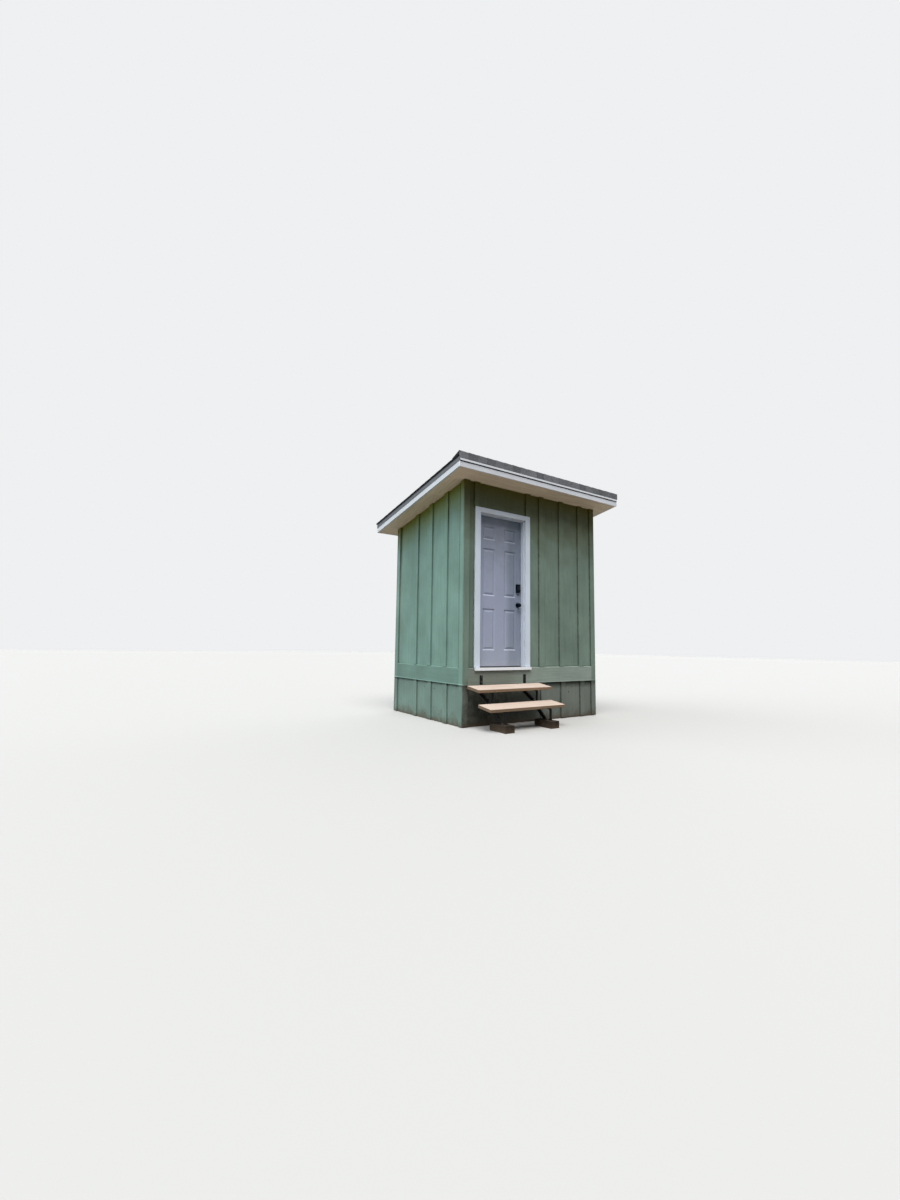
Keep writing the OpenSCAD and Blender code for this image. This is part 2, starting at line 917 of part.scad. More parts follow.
// Bar between two points, each given as its distance out and its height
module frame_bar(a, b, depth) {
    run = b - a;
    translate(a)
        rotate(atan2(run[1], run[0]))
            translate([0, -depth / 2])
                square([norm(run), depth]);
}

// Brace from a post to a strap or a block, which cuts off the end that runs past it
module frame_brace(from, to) {
    frame_bar(from, to + 0.2 * (to - from), brace);
}

// Upright bar between two heights, a distance out from the band
module frame_post(out, z0, z1) {
    translate([out - bar / 2, z0])
        square([bar, z1 - z0]);
}

// Outline of one step frame's bars, seen from the side, outwards and up
module frame_outline() {
    wall_end = under_tread(upper_back, 0);
    post_top = under_tread(upper_back, post_out);
    tread_end = under_tread(lower_back, post_out);
    leg_top = under_tread(lower_back, leg_out);
    brace_end = tread_end - bar / 2 - 0.65 * brace;
    frame_bar([0, wall_end], [post_out, post_top], bar);
    frame_bar([post_out, tread_end], [leg_out, leg_top], bar);
    frame_brace([post_out, tread_end], [0, hanger_foot + 0.6 * brace]);
    frame_brace([post_out, brace_end], [leg_out - brace_back, block_h]);
    frame_post(post_out, brace_end - 0.65 * brace, post_top);
    frame_post(leg_out, block_h, leg_top);
}

// Step frames: bars behind a strap that hangs on the band
module step_frames() {
    color(black_metal)
        for (side = [-1, 1])
            translate([door_x + side * frame_pitch / 2, -out_y, 0])
                rotate([0, 0, 180]) {
                    box(-hanger_w / 2, hanger_w / 2, 0, hanger_t, hanger_foot, hanger_top);
                    intersection() {
                        along_x(-bar / 2, bar / 2)
                            frame_outline();
                        box(-bar, bar, 0, leg_out + bar, block_h, hanger_top);
                    }
                }
}

module step_blocks() {
    front = out_y + leg_out + block_out;
    color(bare_wood)
        for (side = [-1, 1]) {
            x = door_x + side * frame_pitch / 2;
            box(x - block_w / 2, x + block_w / 2, -front, -front + block_l, 0, block_h);
        }
}

skirt_ends();
skirt_sides();
floor_posts();
floor_rims();
floor_joists();
floor_deck();
front_wall_left();
front_wall_right();
front_wall_header();
left_wall();
right_wall();
back_wall();
battens_front();
battens_back();
battens_sides();
corner_boards_ends();
corner_boards_sides();
band_ends();
band_sides();
soffit_ends();
soffit_sides();
rafters();
rafter_blocks();
roof_deck();
roofing();
front_cap();
rake_flashings();
drip_edges();
fascia_ends();
fascia_sides();
door_jambs();
door_jamb_head();
door_stops();
threshold();
door_trim_sides();
door_trim_head();
sill_board();
door();
lock_set();
knob();
door_hinges();
frame_hinges();
step_treads();
step_frames();
step_blocks();
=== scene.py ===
"""A small board-and-batten outhouse: its paint, timber, shingles and hardware."""
import math
import random

import bmesh
import bpy
from mathutils import Matrix, Vector, noise


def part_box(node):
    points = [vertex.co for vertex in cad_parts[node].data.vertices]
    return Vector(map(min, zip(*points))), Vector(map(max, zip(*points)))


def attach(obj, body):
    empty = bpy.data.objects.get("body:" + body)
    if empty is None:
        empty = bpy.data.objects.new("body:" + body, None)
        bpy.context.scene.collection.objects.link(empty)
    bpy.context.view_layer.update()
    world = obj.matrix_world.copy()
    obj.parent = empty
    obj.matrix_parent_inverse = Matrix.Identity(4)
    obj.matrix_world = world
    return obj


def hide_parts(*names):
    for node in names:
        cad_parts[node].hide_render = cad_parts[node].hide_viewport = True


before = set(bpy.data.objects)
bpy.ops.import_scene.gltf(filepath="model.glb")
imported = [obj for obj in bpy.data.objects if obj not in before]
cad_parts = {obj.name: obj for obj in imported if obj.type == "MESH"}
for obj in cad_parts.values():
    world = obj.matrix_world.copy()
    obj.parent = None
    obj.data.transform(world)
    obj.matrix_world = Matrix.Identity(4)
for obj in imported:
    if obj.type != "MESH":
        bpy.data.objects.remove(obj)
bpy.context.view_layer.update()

# Sizes that the timber and the roof share with the frame, in metres and radians
ROOF_PITCH = math.radians(9.5)
WALL_W = 2.438
WALL_D = 1.829
WALL_T = 0.114
SOFFIT_Z = 3.185
SKIRT_TOP = 0.525
LOCK_STILE = -0.42
TREAD_TILT = math.radians(8)
TREAD_SIZE = (1.219, 0.25, 0.038)
STEP_BAR = 0.022
STEP_STRAP = 0.008
ROOFING_T = 0.008

# Thickness and depth of the roofing's turned-down sides; the frame's are 6 mm less deep
ROOFING_LIP = (0.005, 0.024)

# What shows of each shingle, and how far apart nails are, in metres
SHINGLE_SHOWS = 0.143
NAIL_STEP = 0.4

# Where the painted shade and soil around the steps thin out, from left to right, in metres
STEPS_FADE = (-0.5, -0.1)

# How far the grain stands out of siding, of boards over it and of the rough skirt
SIDING_RELIEF = 0.0011
BOARD_RELIEF = 0.0006
SKIRT_RELIEF = 0.0016

# Paint, timber, roofing and metal colours, linear; a pair goes from dark to pale
SAGE = (0.197, 0.268, 0.226)
# The sides' sage below is greener than the front's, partly the cooler light on the sides painted in
SAGE_SIDES = (0.176, 0.290, 0.252)
SAGE_BAND = (0.225, 0.270, 0.242)
SAGE_SKIRT = (0.178, 0.196, 0.176)
SIDES_SKIRT = (0.168, 0.248, 0.218)
# The trim's white below is tinted blue, the cool light on it painted in
TRIM_WHITE = (0.70, 0.78, 0.90)
FRONT_WHITE = (0.90, 0.93, 0.98)
# The front fascia's white below is a lit copy and the rakes' white a shaded copy of one paint:
# painted light and shade
FASCIA_WHITE = (0.74, 0.77, 0.83)
RAKE_WHITE = (0.60, 0.625, 0.67)
JAMB_WHITE = (0.88, 0.80, 0.68)
# The door's colour below is its white paint greyed and tinted blue as it looks in shade: painted
# shade
SHADED_DOOR_WHITE = (0.37, 0.41, 0.54)
PALE_PINE = (0.60, 0.485, 0.41)
FRESH_PINE = (0.30, 0.205, 0.135)
SAWN_TIMBER = (0.50, 0.34, 0.19)
# The soffit's colour below is paled: partly its own pale colour, partly painted light thrown up
# from the ground
LIT_SOFFIT_STAIN = (0.90, 0.715, 0.52)
FLOOR_PINE = (0.50, 0.36, 0.22)
# The blocks' dark timber below is partly wet wood, partly painted shade under the treads
WET_AND_SHADED_TIMBER = (0.042, 0.032, 0.025)
LINING_PINE = ((0.52, 0.37, 0.22), (0.62, 0.46, 0.30))
WOOD_FLAKES = ((0.34, 0.21, 0.105), (0.66, 0.48, 0.28))
SHINGLE_STONE = ((0.045, 0.046, 0.05), (0.16, 0.16, 0.165))
CAP_STONE = ((0.13, 0.138, 0.158), (0.34, 0.352, 0.38))
FLASHING_GREY = (0.075, 0.082, 0.105)
DRIP_WHITE = (0.78, 0.81, 0.87)
LOCK_BLACK = (0.0025, 0.007, 0.014)
STEP_BLACK = (0.006, 0.006, 0.0065)
RUBBER_BLACK = (0.02, 0.02, 0.02)
# Black felt colour for a strip under the drip edge's lip, where its shadow falls: painted shadow
SHADOW_FELT_BLACK = (0.016, 0.018, 0.028)
PLAIN_STEEL = (0.60, 0.59, 0.57)
DULL_ALUMINIUM = (0.42, 0.40, 0.38)

# Dirt, stains and marks, and painted shade, shadow and highlights, linear
DIRT = (0.085, 0.06, 0.04)
OPEN_GRAIN = (0.09, 0.13, 0.10)
SAGE_RUNS = (0.11, 0.13, 0.10)
SAGE_KNOT = (0.06, 0.07, 0.05)
# Painted shade, with some dirt, where faces meet on the sage paint
SAGE_SHADE_AND_GRIME = (0.03, 0.036, 0.028)
# Painted shadow under the belly band
UNDER_BAND_SHADOW = (0.012, 0.014, 0.008)
# Painted shade, with soil, on the foot of the wall behind the steps
STEP_SHADE_AND_SOIL = (0.021, 0.014, 0.005)
# Painted shade on the band's front beside the steps
BAND_SHADE_BESIDE_STEPS = (0.07, 0.062, 0.05)
WHITE_RUNS = (0.38, 0.38, 0.36)
# Painted shade, with some dirt, in the white paint's corners
WHITE_SHADE_AND_GRIME = (0.045, 0.047, 0.06)
# Painted shade under the eaves on the white paint
WHITE_EAVE_SHADE = (0.15, 0.14, 0.12)
WOOD_KNOT = (0.16, 0.085, 0.04)
LINING_KNOT = (0.22, 0.12, 0.06)
# Painted shade, with some dirt, where timber faces meet
WOOD_SHADE_AND_GRIME = (0.09, 0.065, 0.045)
ROOF_DIRT = (0.10, 0.10, 0.085)
METAL_DUST = (0.30, 0.28, 0.25)
# Dust on the step frames' tops, which also paints the light falling on them
SETTLED_DUST_AND_LIGHT = (0.17, 0.155, 0.13)
# Painted shade, with some dirt, in the door's mouldings
MOULDING_SHADE_AND_GRIME = (0.10, 0.098, 0.115)
# Painted shade at the door's top
DOOR_EAVE_SHADE = (0.08, 0.085, 0.085)
# Painted shade down the door's lock stile, beside the jamb
LOCK_STILE_SHADE = (0.075, 0.115, 0.15)
DOOR_DUST = (0.46, 0.44, 0.42)
# A painted highlight on the upward faces of the door's mouldings
LEDGE_HIGHLIGHT = (0.66, 0.70, 0.82)

ORIGIN = (0.0, 0.0, 0.0)

# The range that most of a noise's values lie in
NOISE_SPAN = (0.3, 0.7)


# shader trees

class Tree:
    """Adds nodes to a shader tree; an input takes a value or another node's output."""

    def __init__(self, tree):
        self.nodes = tree.nodes
        self.links = tree.links

    def add(self, kind, inputs=(), **settings):
        node = self.nodes.new(kind)
        for name, value in settings.items():
            setattr(node, name, value)
        for socket, value in dict(inputs).items():
            self.put(value, node.inputs[socket])
        return node

    def put(self, value, socket):
        if isinstance(value, bpy.types.NodeSocket):
            self.links.new(value, socket)
        else:
            socket.default_value = value

    def math(self, operation, a, b=0.0, clamp=False):
        node = self.add("ShaderNodeMath", {0: a, 1: b}, operation=operation, use_clamp=clamp)
        return node.outputs[0]

    def times(self, a, b):
        return self.math("MULTIPLY", a, b)

    def vector(self, operation, a, b):
        node = self.add("ShaderNodeVectorMath", {0: a, 1: b}, operation=operation)
        return node.outputs[0]

    def axes(self, place):
        """The X, Y and Z of a place."""
        return self.add("ShaderNodeSeparateXYZ", {0: place}).outputs

    def spread(self, value, low, high, to_low=0.0, to_high=1.0):
        """Maps low..high to to_low..to_high, and holds it there."""
        node = self.add("ShaderNodeMapRange", {
            "Value": value, "From Min": low, "From Max": high,
            "To Min": to_low, "To Max": to_high})
        return node.outputs["Result"]

    def mix(self, factor, a, b, blend="MIX"):
        node = self.add("ShaderNodeMix", data_type="RGBA", blend_type=blend)
        self.put(factor, node.inputs["Factor"])
        self.put(rgba(a), node.inputs[6])
        self.put(rgba(b), node.inputs[7])
        return node.outputs[2]

    def stained_or_shaded(self, colour, mask, strength, stain_or_shade):
        """Lays stains, dirt or painted shade over a colour, as dense as the mask times the
        strength.
        """
        return self.mix(self.times(mask, strength), colour, stain_or_shade)

    def dirtied_or_shaded(self, colour, effect, place, reach, strength, stain_or_shade):
        """Lays stains, dirt or painted shade where a shared effect with a reach has its mask."""
        mask = self.effect(effect, Place=place, Reach=reach)["Mask"]
        return self.stained_or_shaded(colour, mask, strength, stain_or_shade)

    def dimmed(self, colour, share):
        """A colour with only a share of its light left."""
        return self.mix(1.0, colour, (share, share, share), "MULTIPLY")

    def noise(self, place, scale, detail=3.0, roughness=0.5, distortion=0.0):
        node = self.add("ShaderNodeTexNoise", {
            "Vector": place, "Scale": scale, "Detail": detail,
            "Roughness": roughness, "Distortion": distortion})
        return node.outputs["Fac"]

    def effect(self, group, **inputs):
        """Places a shared effect and returns its outputs."""
        node = self.nodes.new("ShaderNodeGroup")
        node.node_tree = group
        for name, value in inputs.items():
            self.put(value, node.inputs[name])
        return node.outputs


def rgba(colour):
    if isinstance(colour, bpy.types.NodeSocket) or len(colour) == 4:
        return colour
    return (*colour, 1.0)


def toned(colour, share):
    """A colour made darker or paler."""
    return tuple(c * share for c in colour)


def effect_group(name, outputs, **inputs):
    """An empty shared effect with named outputs, and named inputs with their defaults."""
    group = bpy.data.node_groups.new(name, "ShaderNodeTree")
    for label, default in inputs.items():
        kind = "NodeSocketVector" if isinstance(default, tuple) else "NodeSocketFloat"
        group.interface.new_socket(label, in_out="INPUT", socket_type=kind).default_value = default
    for label in outputs:
        group.interface.new_socket(label, in_out="OUTPUT", socket_type="NodeSocketFloat")
    tree = Tree(group)
    given = group.nodes.new("NodeGroupInput").outputs
    result = group.nodes.new("NodeGroupOutput").inputs
    return group, tree, given, result


def wood_grain_group():
    """Fine fibres, growth rings and knots, drawn out by the stretch."""
    group, tree, given, result = effect_group(
        "wood grain", ("Fibres", "Rings", "Knots"),
        Place=ORIGIN, Stretch=(60.0, 60.0, 2.0), Knots=5.0)
    drawn = tree.vector("MULTIPLY", given["Place"], given["Stretch"])
    fibres = tree.noise(drawn, 1.0, detail=6.0, roughness=0.62, distortion=0.4)
    broad = tree.noise(drawn, 0.11, detail=1.5, distortion=0.6)
    rings = tree.math("SINE", tree.times(broad, 70.0))
    knots = tree.add("ShaderNodeTexVoronoi", {"Vector": given["Place"], "Scale": given["Knots"]})
    tree.put(fibres, result["Fibres"])
    tree.put(tree.spread(rings, -1.0, 1.0), result["Rings"])
    tree.put(tree.spread(knots.outputs["Distance"], 0.055, 0.09, 1.0, 0.0), result["Knots"])
    return group


def splash_group():
    """Soil that rain has splashed up from the ground, and thin dirt above it."""
    group, tree, given, result = effect_group(
        "ground splash", ("Mask",), Place=ORIGIN, Reach=0.25)
    height = tree.axes(given["Place"])["Z"]
    blotches = tree.noise(given["Place"], 9.0, detail=6.0, roughness=0.65)
    edge = tree.times(tree.spread(blotches, *NOISE_SPAN, 0.15, 1.6), given["Reach"])
    rise = tree.math("DIVIDE", height, edge)
    tree.put(tree.math("POWER", tree.spread(rise, 0.0, 1.0, 1.0, 0.0), 1.5), result["Mask"])
    return group


def crevice_group():
    """Painted shade where faces meet, within a reach, in patches like dirt."""
    group, tree, given, result = effect_group(
        "crevice shade and dirt", ("Mask",), Place=ORIGIN, Reach=0.03)
    shade = tree.add("ShaderNodeAmbientOcclusion", {"Distance": given["Reach"]}, samples=6)
    patchy = tree.noise(given["Place"], 14.0, detail=4.0)
    depth = tree.spread(shade.outputs["AO"], 0.5, 0.95, 1.0, 0.0)
    tree.put(tree.times(depth, tree.spread(patchy, 0.3, 0.6, 0.5, 1.0)), result["Mask"])
    return group


def eave_shade_group():
    """Painted shade at the top of the walls, under the overhang of the eaves."""
    group, tree, given, result = effect_group(
        "painted shade under the eaves", ("Mask",), Place=ORIGIN, Reach=0.5)
    place = tree.axes(given["Place"])
    fall = tree.times(tree.math("ADD", place["Y"], WALL_D / 2), math.tan(ROOF_PITCH))
    depth = tree.math("SUBTRACT", tree.math("SUBTRACT", SOFFIT_Z, fall), place["Z"])
    patches = tree.noise(given["Place"], 6.0, detail=4.0)
    patchy = tree.spread(patches, *NOISE_SPAN, 0.75, 1.15)
    edge = tree.math("DIVIDE", depth, tree.times(given["Reach"], patchy))
    tree.put(tree.math("POWER", tree.spread(edge, 0.0, 1.0, 1.0, 0.0), 1.4), result["Mask"])
    return group


def belly_band_group():
    """The skirt under the belly band, painted shadow at its top, and the band's paler lower edge.
    """
    pale_edge_h = 0.016
    soft_h = 0.006
    slack = 0.001
    group, tree, given, result = effect_group(
        "under the belly band", ("Skirt", "Mask", "Pale edge"), Place=ORIGIN, Reach=0.06)
    height = tree.axes(given["Place"])["Z"]
    depth = tree.math("SUBTRACT", SKIRT_TOP, height)
    patches = tree.noise(given["Place"], 12.0, detail=4.0)
    patchy = tree.spread(patches, *NOISE_SPAN, 0.8, 1.2)
    fade = tree.math("DIVIDE", depth, tree.times(given["Reach"], patchy))
    below = tree.math("GREATER_THAN", depth, -slack)
    pale_edge = tree.spread(depth, -pale_edge_h, soft_h - pale_edge_h)
    tree.put(tree.math("LESS_THAN", height, SKIRT_TOP), result["Skirt"])
    tree.put(tree.times(below, tree.spread(fade, 0.15, 1.0, 1.0, 0.0)), result["Mask"])
    tree.put(tree.times(pale_edge, tree.spread(depth, 0.0, slack, 1.0, 0.0)), result["Pale edge"])
    return group


def by_steps_group():
    """The foot of the wall behind the steps, and the front of the band beside them."""
    dry_z = 0.7
    group, tree, given, result = effect_group(
        "around the steps", ("Behind", "Beside"), Place=ORIGIN)
    place = tree.axes(given["Place"])
    low = tree.spread(place["Z"], SKIRT_TOP, dry_z, 1.0, 0.0)
    front = tree.math("LESS_THAN", place["Y"], 0.0)
    tree.put(tree.times(tree.spread(place["X"], *STEPS_FADE, 1.0, 0.2), low), result["Behind"])
    tree.put(tree.times(tree.spread(place["X"], *STEPS_FADE, 1.0, 0.0), front), result["Beside"])
    return group


def blotch_group():
    """Wide soft patches of fading and damp, with thin runs down the face."""
    group, tree, given, result = effect_group(
        "fading and runs", ("Fading", "Runs"), Place=ORIGIN, Scale=1.4)
    fading = tree.noise(given["Place"], given["Scale"], detail=4.0, roughness=0.55)
    drawn = tree.vector("MULTIPLY", given["Place"], (38.0, 38.0, 0.9))
    runs = tree.noise(drawn, 1.0, detail=3.0, roughness=0.6)
    tree.put(fading, result["Fading"])
    tree.put(tree.spread(runs, 0.56, 0.78), result["Runs"])
    return group


def speck_group():
    """Small grains, each with its own tone."""
    group, tree, given, result = effect_group(
        "grains", ("Tone", "Height"), Place=ORIGIN, Scale=600.0)
    cells = tree.add("ShaderNodeTexVoronoi", {"Vector": given["Place"], "Scale": given["Scale"]})
    tree.put(tree.axes(cells.outputs["Color"])["X"], result["Tone"])
    tree.put(tree.spread(cells.outputs["Distance"], 0.0, 0.7, 1.0, 0.0), result["Height"])
    return group


def facing_group():
    """Faces that look along an axis: both ends of a board, or only its top."""
    upright = (0.0, 0.0, 1.0)
    group, tree, given, result = effect_group(
        "facing", ("Along", "Up"), Normal=upright, Axis=upright)
    turned = tree.add("ShaderNodeVectorMath", {0: given["Normal"], 1: given["Axis"]},
                      operation="DOT_PRODUCT").outputs["Value"]
    tree.put(tree.spread(tree.math("ABSOLUTE", turned), 0.75, 0.95), result["Along"])
    tree.put(tree.spread(turned, 0.3, 0.75), result["Up"])
    return group


WOOD_GRAIN = wood_grain_group()
SPLASH = splash_group()
CREVICE = crevice_group()
EAVE_SHADE = eave_shade_group()
BELLY_BAND = belly_band_group()
BY_STEPS = by_steps_group()
BLOTCHES = blotch_group()
GRAINS = speck_group()
FACING = facing_group()

# How far the grain is drawn out, for boards that run along each axis
GRAIN_ALONG = {
    "x": (2.2, 62.0, 62.0),
    "y": (62.0, 2.2, 62.0),
    "z": (62.0, 62.0, 2.2),
}
AXES = {"x": (1.0, 0.0, 0.0), "y": (0.0, 1.0, 0.0), "z": (0.0, 0.0, 1.0)}


# materials

def new_material(name, roughness=0.5, metallic=0.0, shine=0.5):
    """A material, its tree, its shader and the place on the object."""
    material = bpy.data.materials.new(name)
    material.use_nodes = True
    tree = Tree(material.node_tree)
    shader = material.node_tree.nodes["Principled BSDF"]
    shader.inputs["Roughness"].default_value = roughness
    shader.inputs["Metallic"].default_value = metallic
    shader.inputs["Specular IOR Level"].default_value = shine
    place = tree.add("ShaderNodeTexCoord").outputs["Object"]
    return material, tree, shader, place


def facing(tree, axis):
    """How far a face looks along an axis, both ways and one way."""
    normal = tree.add("ShaderNodeTexCoord").outputs["Normal"]
    return tree.effect(FACING, Normal=normal, Axis=AXES[axis])


def bump(tree, shader, height, distance):
    node = tree.add("ShaderNodeBump", {"Height": height, "Distance": distance})
    tree.put(node.outputs["Normal"], shader.inputs["Normal"])


def lined_inside(tree, place, outside):
    """Swaps the walls' paint for bare lining boards on their inner faces."""
    slack = 0.004
    axes = tree.axes(place)
    in_x = tree.math("LESS_THAN", tree.math("ABSOLUTE", axes["X"]), WALL_W / 2 - WALL_T + slack)
    in_y = tree.math("LESS_THAN", tree.math("ABSOLUTE", axes["Y"]), WALL_D / 2 - WALL_T + slack)
    grain = tree.effect(WOOD_GRAIN, Place=place, Stretch=(48.0, 48.0, 1.6), Knots=4.0)
    pine = tree.mix(grain["Rings"], *LINING_PINE)
    pine = tree.stained_or_shaded(pine, grain["Knots"], 0.6, LINING_KNOT)
    return tree.mix(tree.times(in_x, in_y), outside, pine)


def faded(colour):
    """The darkest and the palest tone of sage paint that has faded in patches."""
    return toned(colour, 0.84), toned(colour, 1.14)


def sage_paint(name, along, emboss, sage=SAGE, tone=1.0, lower=None, knots=0.0, shade_and_grime=0.9,
               eave_shade=(1.06, 0.98, (0.07, 0.058, 0.001)), band_shadow=None, shade_and_soil_behind_steps=0.0, shade_beside_steps=0.0,
               splash_reach=0.0, lining=False):
    """Flat sage paint over wood whose grain still shows.

    lower is its colour on the skirt. The eaves' shade is the reach, strength and colour of the
    painted shade under the eaves, and the band's shadow the reach and strength of the painted
    shadow under the belly band, which also pales the band's lower edge. The shade behind and
    beside the steps are strengths: painted shade with soil behind the steps, and painted shade
    on the band beside them. The shade where faces meet is painted, with some dirt.
    """
    material, tree, shader, place = new_material(name, shine=0.12)
    grain = tree.effect(WOOD_GRAIN, Place=place, Stretch=GRAIN_ALONG[along], Knots=5.0)
    weather = tree.effect(BLOTCHES, Place=place, Scale=1.6)
    fibres = tree.spread(grain["Fibres"], *NOISE_SPAN)
    fading = tree.spread(weather["Fading"], 0.35, 0.65)
    colour = tree.mix(fading, *faded(toned(sage, tone)))
    if lower:
        skirt = tree.effect(BELLY_BAND, Place=place)["Skirt"]
        colour = tree.mix(skirt, colour, tree.mix(fading, *faded(lower)))
    colour = tree.mix(tree.spread(fibres, 0.0, 1.0, 0.32, 0.0), colour, OPEN_GRAIN)
    colour = tree.stained_or_shaded(colour, weather["Runs"], 0.16, SAGE_RUNS)
    if knots:
        colour = tree.stained_or_shaded(colour, grain["Knots"], knots, SAGE_KNOT)
    # Painted shade, with some dirt, where faces meet
    colour = tree.dirtied_or_shaded(colour, CREVICE, place, reach=0.024, strength=shade_and_grime, stain_or_shade=SAGE_SHADE_AND_GRIME)
    # Painted shade under the eaves
    colour = tree.dirtied_or_shaded(colour, EAVE_SHADE, place, *eave_shade)
    # Painted shadow under the belly band, and a paler strip along the band's lower edge
    if band_shadow:
        reach, strength = band_shadow
        pale_edge = tree.effect(BELLY_BAND, Place=place)["Pale edge"]
        colour = tree.dirtied_or_shaded(colour, BELLY_BAND, place, reach, strength, UNDER_BAND_SHADOW)
        colour = tree.stained_or_shaded(colour, pale_edge, strength, toned(sage, 1.5 * tone))
    # Painted shade, with soil, on the foot of the wall behind the steps
    if shade_and_soil_behind_steps:
        hidden = tree.effect(CREVICE, Place=place, Reach=0.4)["Mask"]
        behind = tree.effect(BY_STEPS, Place=place)["Behind"]
        colour = tree.stained_or_shaded(colour, tree.times(hidden, behind), shade_and_soil_behind_steps, STEP_SHADE_AND_SOIL)
    # Painted shade on the band's front beside the steps
    if shade_beside_steps:
        beside = tree.effect(BY_STEPS, Place=place)["Beside"]
        patchy_shade = tree.spread(weather["Fading"], *NOISE_SPAN, 0.8, 1.2)
        colour = tree.stained_or_shaded(colour, tree.times(beside, patchy_shade), shade_beside_steps, BAND_SHADE_BESIDE_STEPS)
    if splash_reach:
        colour = tree.dirtied_or_shaded(colour, SPLASH, place, splash_reach, strength=0.85, stain_or_shade=DIRT)
    if lining:
        colour = lined_inside(tree, place, colour)
    tree.put(colour, shader.inputs["Base Color"])
    tree.put(tree.spread(fibres, 0.0, 1.0, 0.75, 0.55), shader.inputs["Roughness"])
    bump(tree, shader, grain["Fibres"], emboss)
    return material


def white_paint(name, along, white=TRIM_WHITE, crevice=(0.016, 0.45), eave_shade=None):
    """Satin white paint, faint brush marks, painted shade and dirt in corners, painted shade under
    the eaves.

    crevice and the shade under the eaves are each a reach and a strength.
    """
    material, tree, shader, place = new_material(name, shine=0.25)
    grain = tree.effect(WOOD_GRAIN, Place=place, Stretch=GRAIN_ALONG[along], Knots=5.0)
    weather = tree.effect(BLOTCHES, Place=place, Scale=2.4)
    fading = tree.spread(weather["Fading"], *NOISE_SPAN)
    colour = tree.mix(fading, toned(white, 0.9), white)
    colour = tree.stained_or_shaded(colour, weather["Runs"], 0.12, WHITE_RUNS)
    # Painted shade, with some dirt, in the corners
    colour = tree.dirtied_or_shaded(colour, CREVICE, place, *crevice, WHITE_SHADE_AND_GRIME)
    # Painted shade under the eaves
    if eave_shade:
        colour = tree.dirtied_or_shaded(colour, EAVE_SHADE, place, *eave_shade, WHITE_EAVE_SHADE)
    tree.put(colour, shader.inputs["Base Color"])
    tree.put(tree.spread(grain["Fibres"], *NOISE_SPAN, 0.34, 0.5), shader.inputs["Roughness"])
    bump(tree, shader, grain["Fibres"], 0.0004)
    return material


def bare_wood(name, colour, along, roughness=0.75, contrast=0.35, splash_reach=0.0,
              relief=0.0008, knots=0.75, bleached=None):
    """Unpainted timber with fibres, rings and knots; its top may be bleached by sun and feet."""
    material, tree, shader, place = new_material(name, roughness, shine=0.15)
    grain = tree.effect(WOOD_GRAIN, Place=place, Stretch=GRAIN_ALONG[along], Knots=6.0)
    weather = tree.effect(BLOTCHES, Place=place, Scale=3.0)
    if bleached:
        colour = tree.mix(facing(tree, "z")["Up"], colour, bleached)
    dark = tree.dimmed(colour, 1.0 - contrast)
    shade = tree.mix(grain["Rings"], dark, colour)
    shade = tree.mix(tree.spread(grain["Fibres"], 0.35, 0.65, 0.35, 0.0), shade, dark)
    damp = tree.spread(weather["Fading"], *NOISE_SPAN, 0.0, 0.4)
    shade = tree.mix(damp, shade, tree.dimmed(colour, 0.7))
    shade = tree.stained_or_shaded(shade, grain["Knots"], knots, WOOD_KNOT)
    # End faces darker: partly the end grain's own colour, partly painted shade
    shade = tree.stained_or_shaded(shade, facing(tree, along)["Along"], 0.7, tree.dimmed(colour, 0.4))
    # Painted shade, with some dirt, where faces meet
    shade = tree.dirtied_or_shaded(shade, CREVICE, place, reach=0.03, strength=0.4, stain_or_shade=WOOD_SHADE_AND_GRIME)
    if splash_reach:
        shade = tree.dirtied_or_shaded(shade, SPLASH, place, splash_reach, strength=1.0, stain_or_shade=DIRT)
    tree.put(shade, shader.inputs["Base Color"])
    bump(tree, shader, grain["Fibres"], relief)
    return material


def flake_board(name):
    """Sheathing pressed from flat flakes of wood."""
    material, tree, shader, place = new_material(name, roughness=0.8)
    swirl = tree.add("ShaderNodeTexNoise", {"Vector": place, "Scale": 30.0}).outputs["Color"]
    bent = tree.vector("ADD", place, tree.vector("MULTIPLY", swirl, (0.05, 0.05, 0.05)))
    flakes = tree.add("ShaderNodeTexVoronoi", {"Vector": bent, "Scale": 26.0})
    tone = tree.axes(flakes.outputs["Color"])["X"]
    tree.put(tree.mix(tone, *WOOD_FLAKES), shader.inputs["Base Color"])
    bump(tree, shader, tone, 0.0008)
    return material


def granules(name, dark, light):
    """Bitumen roofing faced with crushed stone, each piece in the tone of its faces."""
    material, tree, shader, place = new_material(name, roughness=0.9, shine=0.2)
    fine = tree.effect(GRAINS, Place=place, Scale=520.0)
    coarse = tree.effect(GRAINS, Place=place, Scale=170.0)
    weather = tree.effect(BLOTCHES, Place=place, Scale=2.0)
    colour = tree.mix(tree.spread(fine["Tone"], 0.25, 0.9), dark, light)
    colour = tree.mix(tree.spread(coarse["Tone"], 0.55, 1.0, 0.0, 0.45), colour, dark)
    colour = tree.mix(tree.spread(weather["Fading"], 0.4, 0.7, 0.0, 0.35), colour, ROOF_DIRT)
    tint = tree.add("ShaderNodeAttribute", attribute_name="shade")
    colour = tree.mix(1.0, colour, tint.outputs["Color"], "MULTIPLY")
    tree.put(colour, shader.inputs["Base Color"])
    bump(tree, shader, fine["Height"], 0.0012)
    return material


